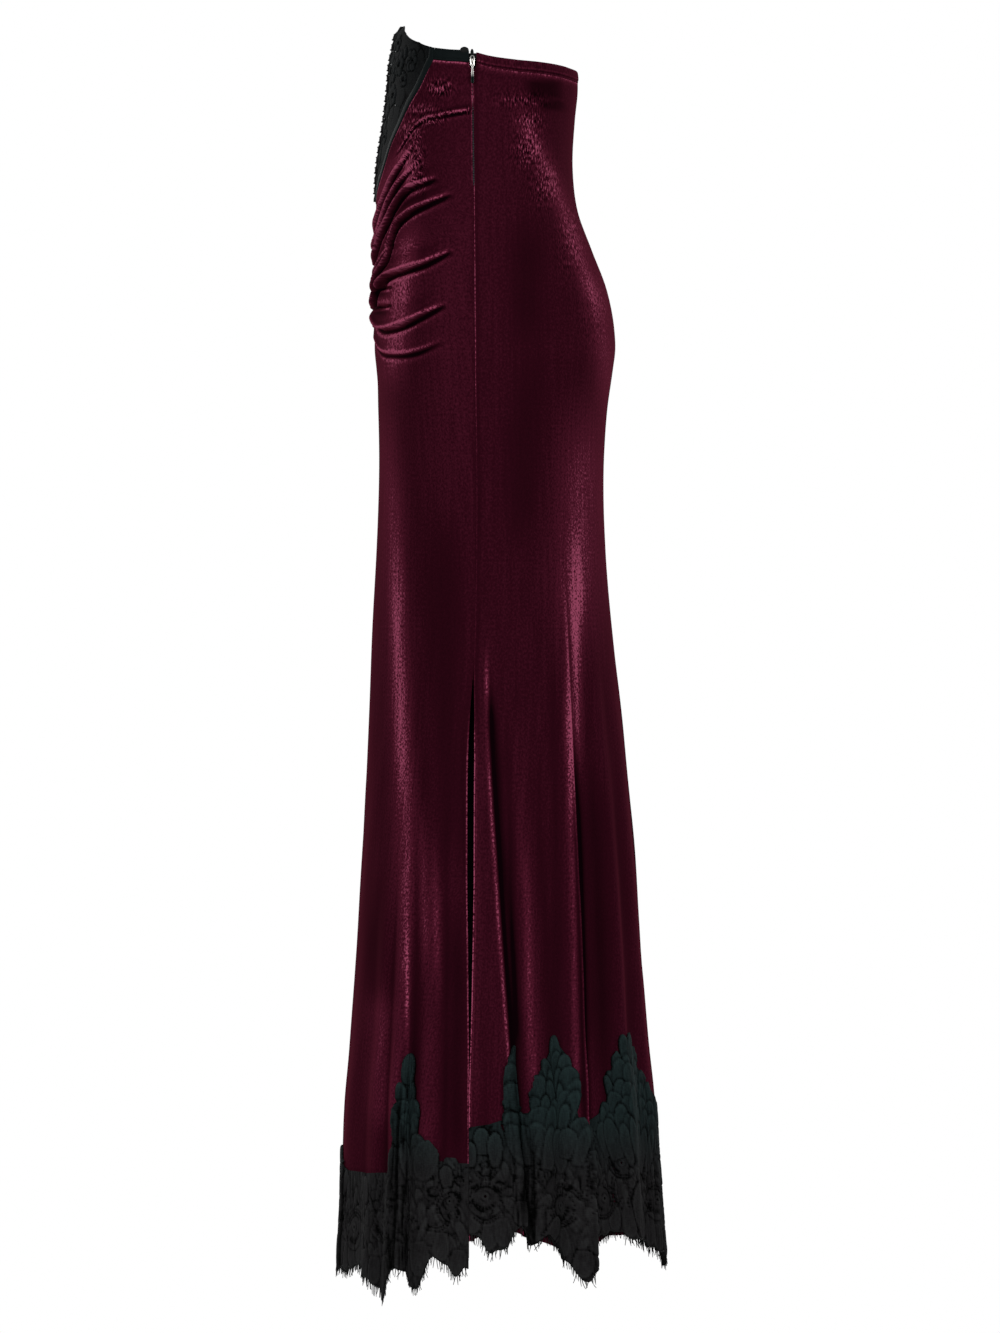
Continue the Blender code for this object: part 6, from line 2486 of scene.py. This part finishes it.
@dataclass
class Slider:
    """The zip's slider, a notched plate with a crown, and its pull, a slim drop on two short wires."""

    finishes: Finishes
    height: float = -1.0
    seat: float = 0.2
    hinge: float = 3.2

    def on_zip(self, flat: Floats, lift: float) -> Floats:
        """Points given as across, up and out in mm, stood square on the zip at the slider's place.

        Args:
            flat: Points across, up and out, mm.
            lift: How far they stand out from the zip, mm.

        Returns:
            The points in the skirt's own frame, mm.
        """
        low, high = FORM.place(np.full(2, SIDE_SEAM), np.array([-14.0, 6.0]))
        across, up = np.array([0.0, 1.0, 0.0]), unit(high - low)
        out = np.cross(across, up)
        origin = FORM.place(np.array([SIDE_SEAM]), np.array([self.height]))[0] + out * lift
        return origin + flat @ np.stack([across, up, out])

    def build(self) -> None:
        """Builds the slider, the dark opening under its crown, and the pull."""
        right = [(0.45, -2.9), (0.7, -4.0), (1.1, -4.6), (1.9, -4.5), (2.0, -2), (2.2, 0.6), (2.2, 2.4)]
        right = np.array(right)
        turns = np.radians(np.arange(15, 166, 15))
        crown = np.column_stack([2.2 * np.cos(turns), 2.6 + 2.3 * np.sin(turns)])
        outline = np.concatenate([right, crown, right[::-1] * (-1, 1)])
        arch = np.array([[(0, 0.8, 1.6), (0, 0.6, 3.9), (0, -0.6, 3.9), (0, -0.8, 1.6)]], float)
        body_points, groups = joined([plate(outline, 0, 1.9, 0.45), tubes(arch, np.full((1, 4), 0.4), 8)])
        body_points = self.on_zip(body_points, self.seat)
        body = make_mesh("zip_slider_body", body_points, groups, [self.finishes.nickel], 40.0)
        dress(body, ("zip_slider",))
        spin = np.radians(np.arange(0, 360, 24))
        holes = [np.column_stack([1.05 * np.cos(spin), 1.4 * np.sin(spin) + 2.8])]
        holes.append(np.column_stack([0.6 * np.cos(spin), 1.1 * np.sin(spin) - 2.4]))
        points, groups = joined([plate(hole, 1.5, 2.05, 0.05) for hole in holes])
        points = self.on_zip(points, self.seat)
        dress(make_mesh("zip_slider_opening", points, groups, [self.finishes.thread], 40.0), ())
        half = [(0.9, -3.2), (0.7, -4.6), (0.85, -8), (1.15, -13), (1.3, -17.5), (1.2, -19.6), (0.7, -20.8)]
        half = np.array(half)
        drop = np.concatenate([half * (-1, 1), [(0.0, -21.1)], half[::-1]])
        wires = [[(s * 1.3, 0.0, 0.0), (s * 1.35, -1.6, 0.0), (s * 0.7, -3.6, 0.0)] for s in (-1, 1)]
        wires = np.array(wires)
        bar = np.array([[(-1.5, 0.0, 0.0), (0.0, 0.0, 0.0), (1.5, 0.0, 0.0)]])
        wire = 0.45
        parts = [plate(drop, -wire, wire, 0.2)]
        parts += [tubes(path, np.full(path.shape[:2], wire), 8) for path in (wires, bar)]
        points, groups = joined(parts)
        points = self.on_zip(points, self.hinge)
        pull = make_mesh("zip_pull_drop", points, groups, [self.finishes.black_nickel], 40.0)
        dress(pull, ("zip_pull",), "pull_tab")


# ---------------------------------------------------------------------------------------------- studio


@dataclass
class Studio:
    """A white surround, a pale floor, soft lights and the camera."""

    camera_height: float = -0.5308
    camera_side: float = 0.0132
    camera_distance: float = 36.0
    view_height: float = 1.1704
    sensor: float = 36.0
    clip_end: float = 200.0
    floor_radius: float = 2.2
    floor_height: float = -1.158
    fill: float = 0.34

    def build(self) -> None:
        """Builds everything that isn't the skirt."""
        self.surroundings()
        self.camera()
        self.lights()
        bpy.context.scene.view_settings.view_transform = "Standard"

    def surroundings(self) -> None:
        """A world that is white to the eye but lights the skirt as a dim fill, and a round pale floor."""
        world = bpy.data.worlds.new("even_fill")
        world.use_nodes = True
        tree, dim = world.node_tree, world.node_tree.nodes["Background"]
        fill_sockets(dim, {"Color": (1, 1, 1, 1), "Strength": self.fill})
        white = add_node(tree, "Background", {"Color": (1, 1, 1, 1), "Strength": 1.0})
        seen = add_node(tree, "LightPath", out="Is Camera Ray")
        mixed = add_node(tree, "MixShader", {0: seen, 1: dim.outputs[0], 2: white})
        fill_sockets(tree.nodes["World Output"], {"Surface": mixed})
        bpy.context.scene.world = world
        spin = np.linspace(0, 2 * math.pi, 97)[:-1]
        rim = np.stack([np.cos(spin), np.sin(spin), 0 * spin], -1) * self.floor_radius
        material, _, shader = blank_material("pale_matt_floor")
        fill_sockets(shader, {"Base Color": linear("fbfbfb"), "Roughness": 0.9, "Specular IOR Level": 0.1})
        rim = (rim + (0, 0, self.floor_height)) / MM
        floor = make_mesh("floor", rim, [np.arange(len(rim))[None]], [material])
        floor.visible_diffuse = floor.visible_glossy = False

    def camera(self) -> None:
        """The camera looks along -X at the skirt's left side from far away, so that its view is flat."""
        data = bpy.data.cameras.new("camera")
        data.sensor_width = self.sensor
        data.lens = self.sensor * self.camera_distance / self.view_height
        data.clip_end = self.clip_end
        camera = bpy.data.objects.new("camera", data)
        camera.location = (self.camera_distance, self.camera_side, self.camera_height)
        camera.rotation_euler = (math.radians(90), 0, math.radians(90))
        bpy.context.scene.collection.objects.link(camera)
        bpy.context.scene.camera = camera

    def lights(self) -> None:
        """Large soft lights: one ahead of the camera, one behind it, and weak ones on the far side."""
        aim = np.array([0.0, 0.0, -0.45])
        for name, place, size, watts in (
            ("key_front", (3.4, -2.6, 0.9), 2.0, 72.0),
            ("key_back", (3.4, 2.8, 0.9), 2.0, 84.0),
            ("far_front", (-3.0, -2.6, 0.8), 2.2, 45.0),
            ("far_back", (-3.0, 2.6, 0.8), 2.2, 45.0),
        ):
            data = bpy.data.lights.new(name, "AREA")
            data.shape, data.size, data.energy = "SQUARE", size, watts
            light = bpy.data.objects.new(name, data)
            light.location = place
            light.visible_camera = False
            direction = unit(aim - np.array(place))
            light.rotation_euler = (
                math.atan2(math.hypot(direction[0], direction[1]), -direction[2]),
                0,
                math.atan2(direction[1], direction[0]) - math.pi / 2,
            )
            bpy.context.scene.collection.objects.link(light)


# ------------------------------------------------------------------------------------------------ main


def main() -> None:
    """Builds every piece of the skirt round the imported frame, and the studio."""
    logging.basicConfig(level=logging.INFO, format="%(name)s: %(message)s")
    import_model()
    Studio().build()
    finishes = Finishes()
    for side in Side:
        for half in Half:
            if side is Side.LEFT:
                VelvetPanel(half, side, finishes).build()
            else:
                # The far side is never seen close, so its grid is coarser.
                VelvetPanel(half, side, finishes, columns=84, upper_rows=150, lower_rows=84).build()
            Waistband(half, side, finishes).build()
        YokeBinding(side, finishes).build()
    yoke = Yoke(finishes).build()
    _, beads = Braid(finishes).build()
    for half in Half:
        LaceBorder(half, finishes).build()
    Zip(finishes).build()
    Slider(finishes).build()


if __name__ == "__main__":
    main()
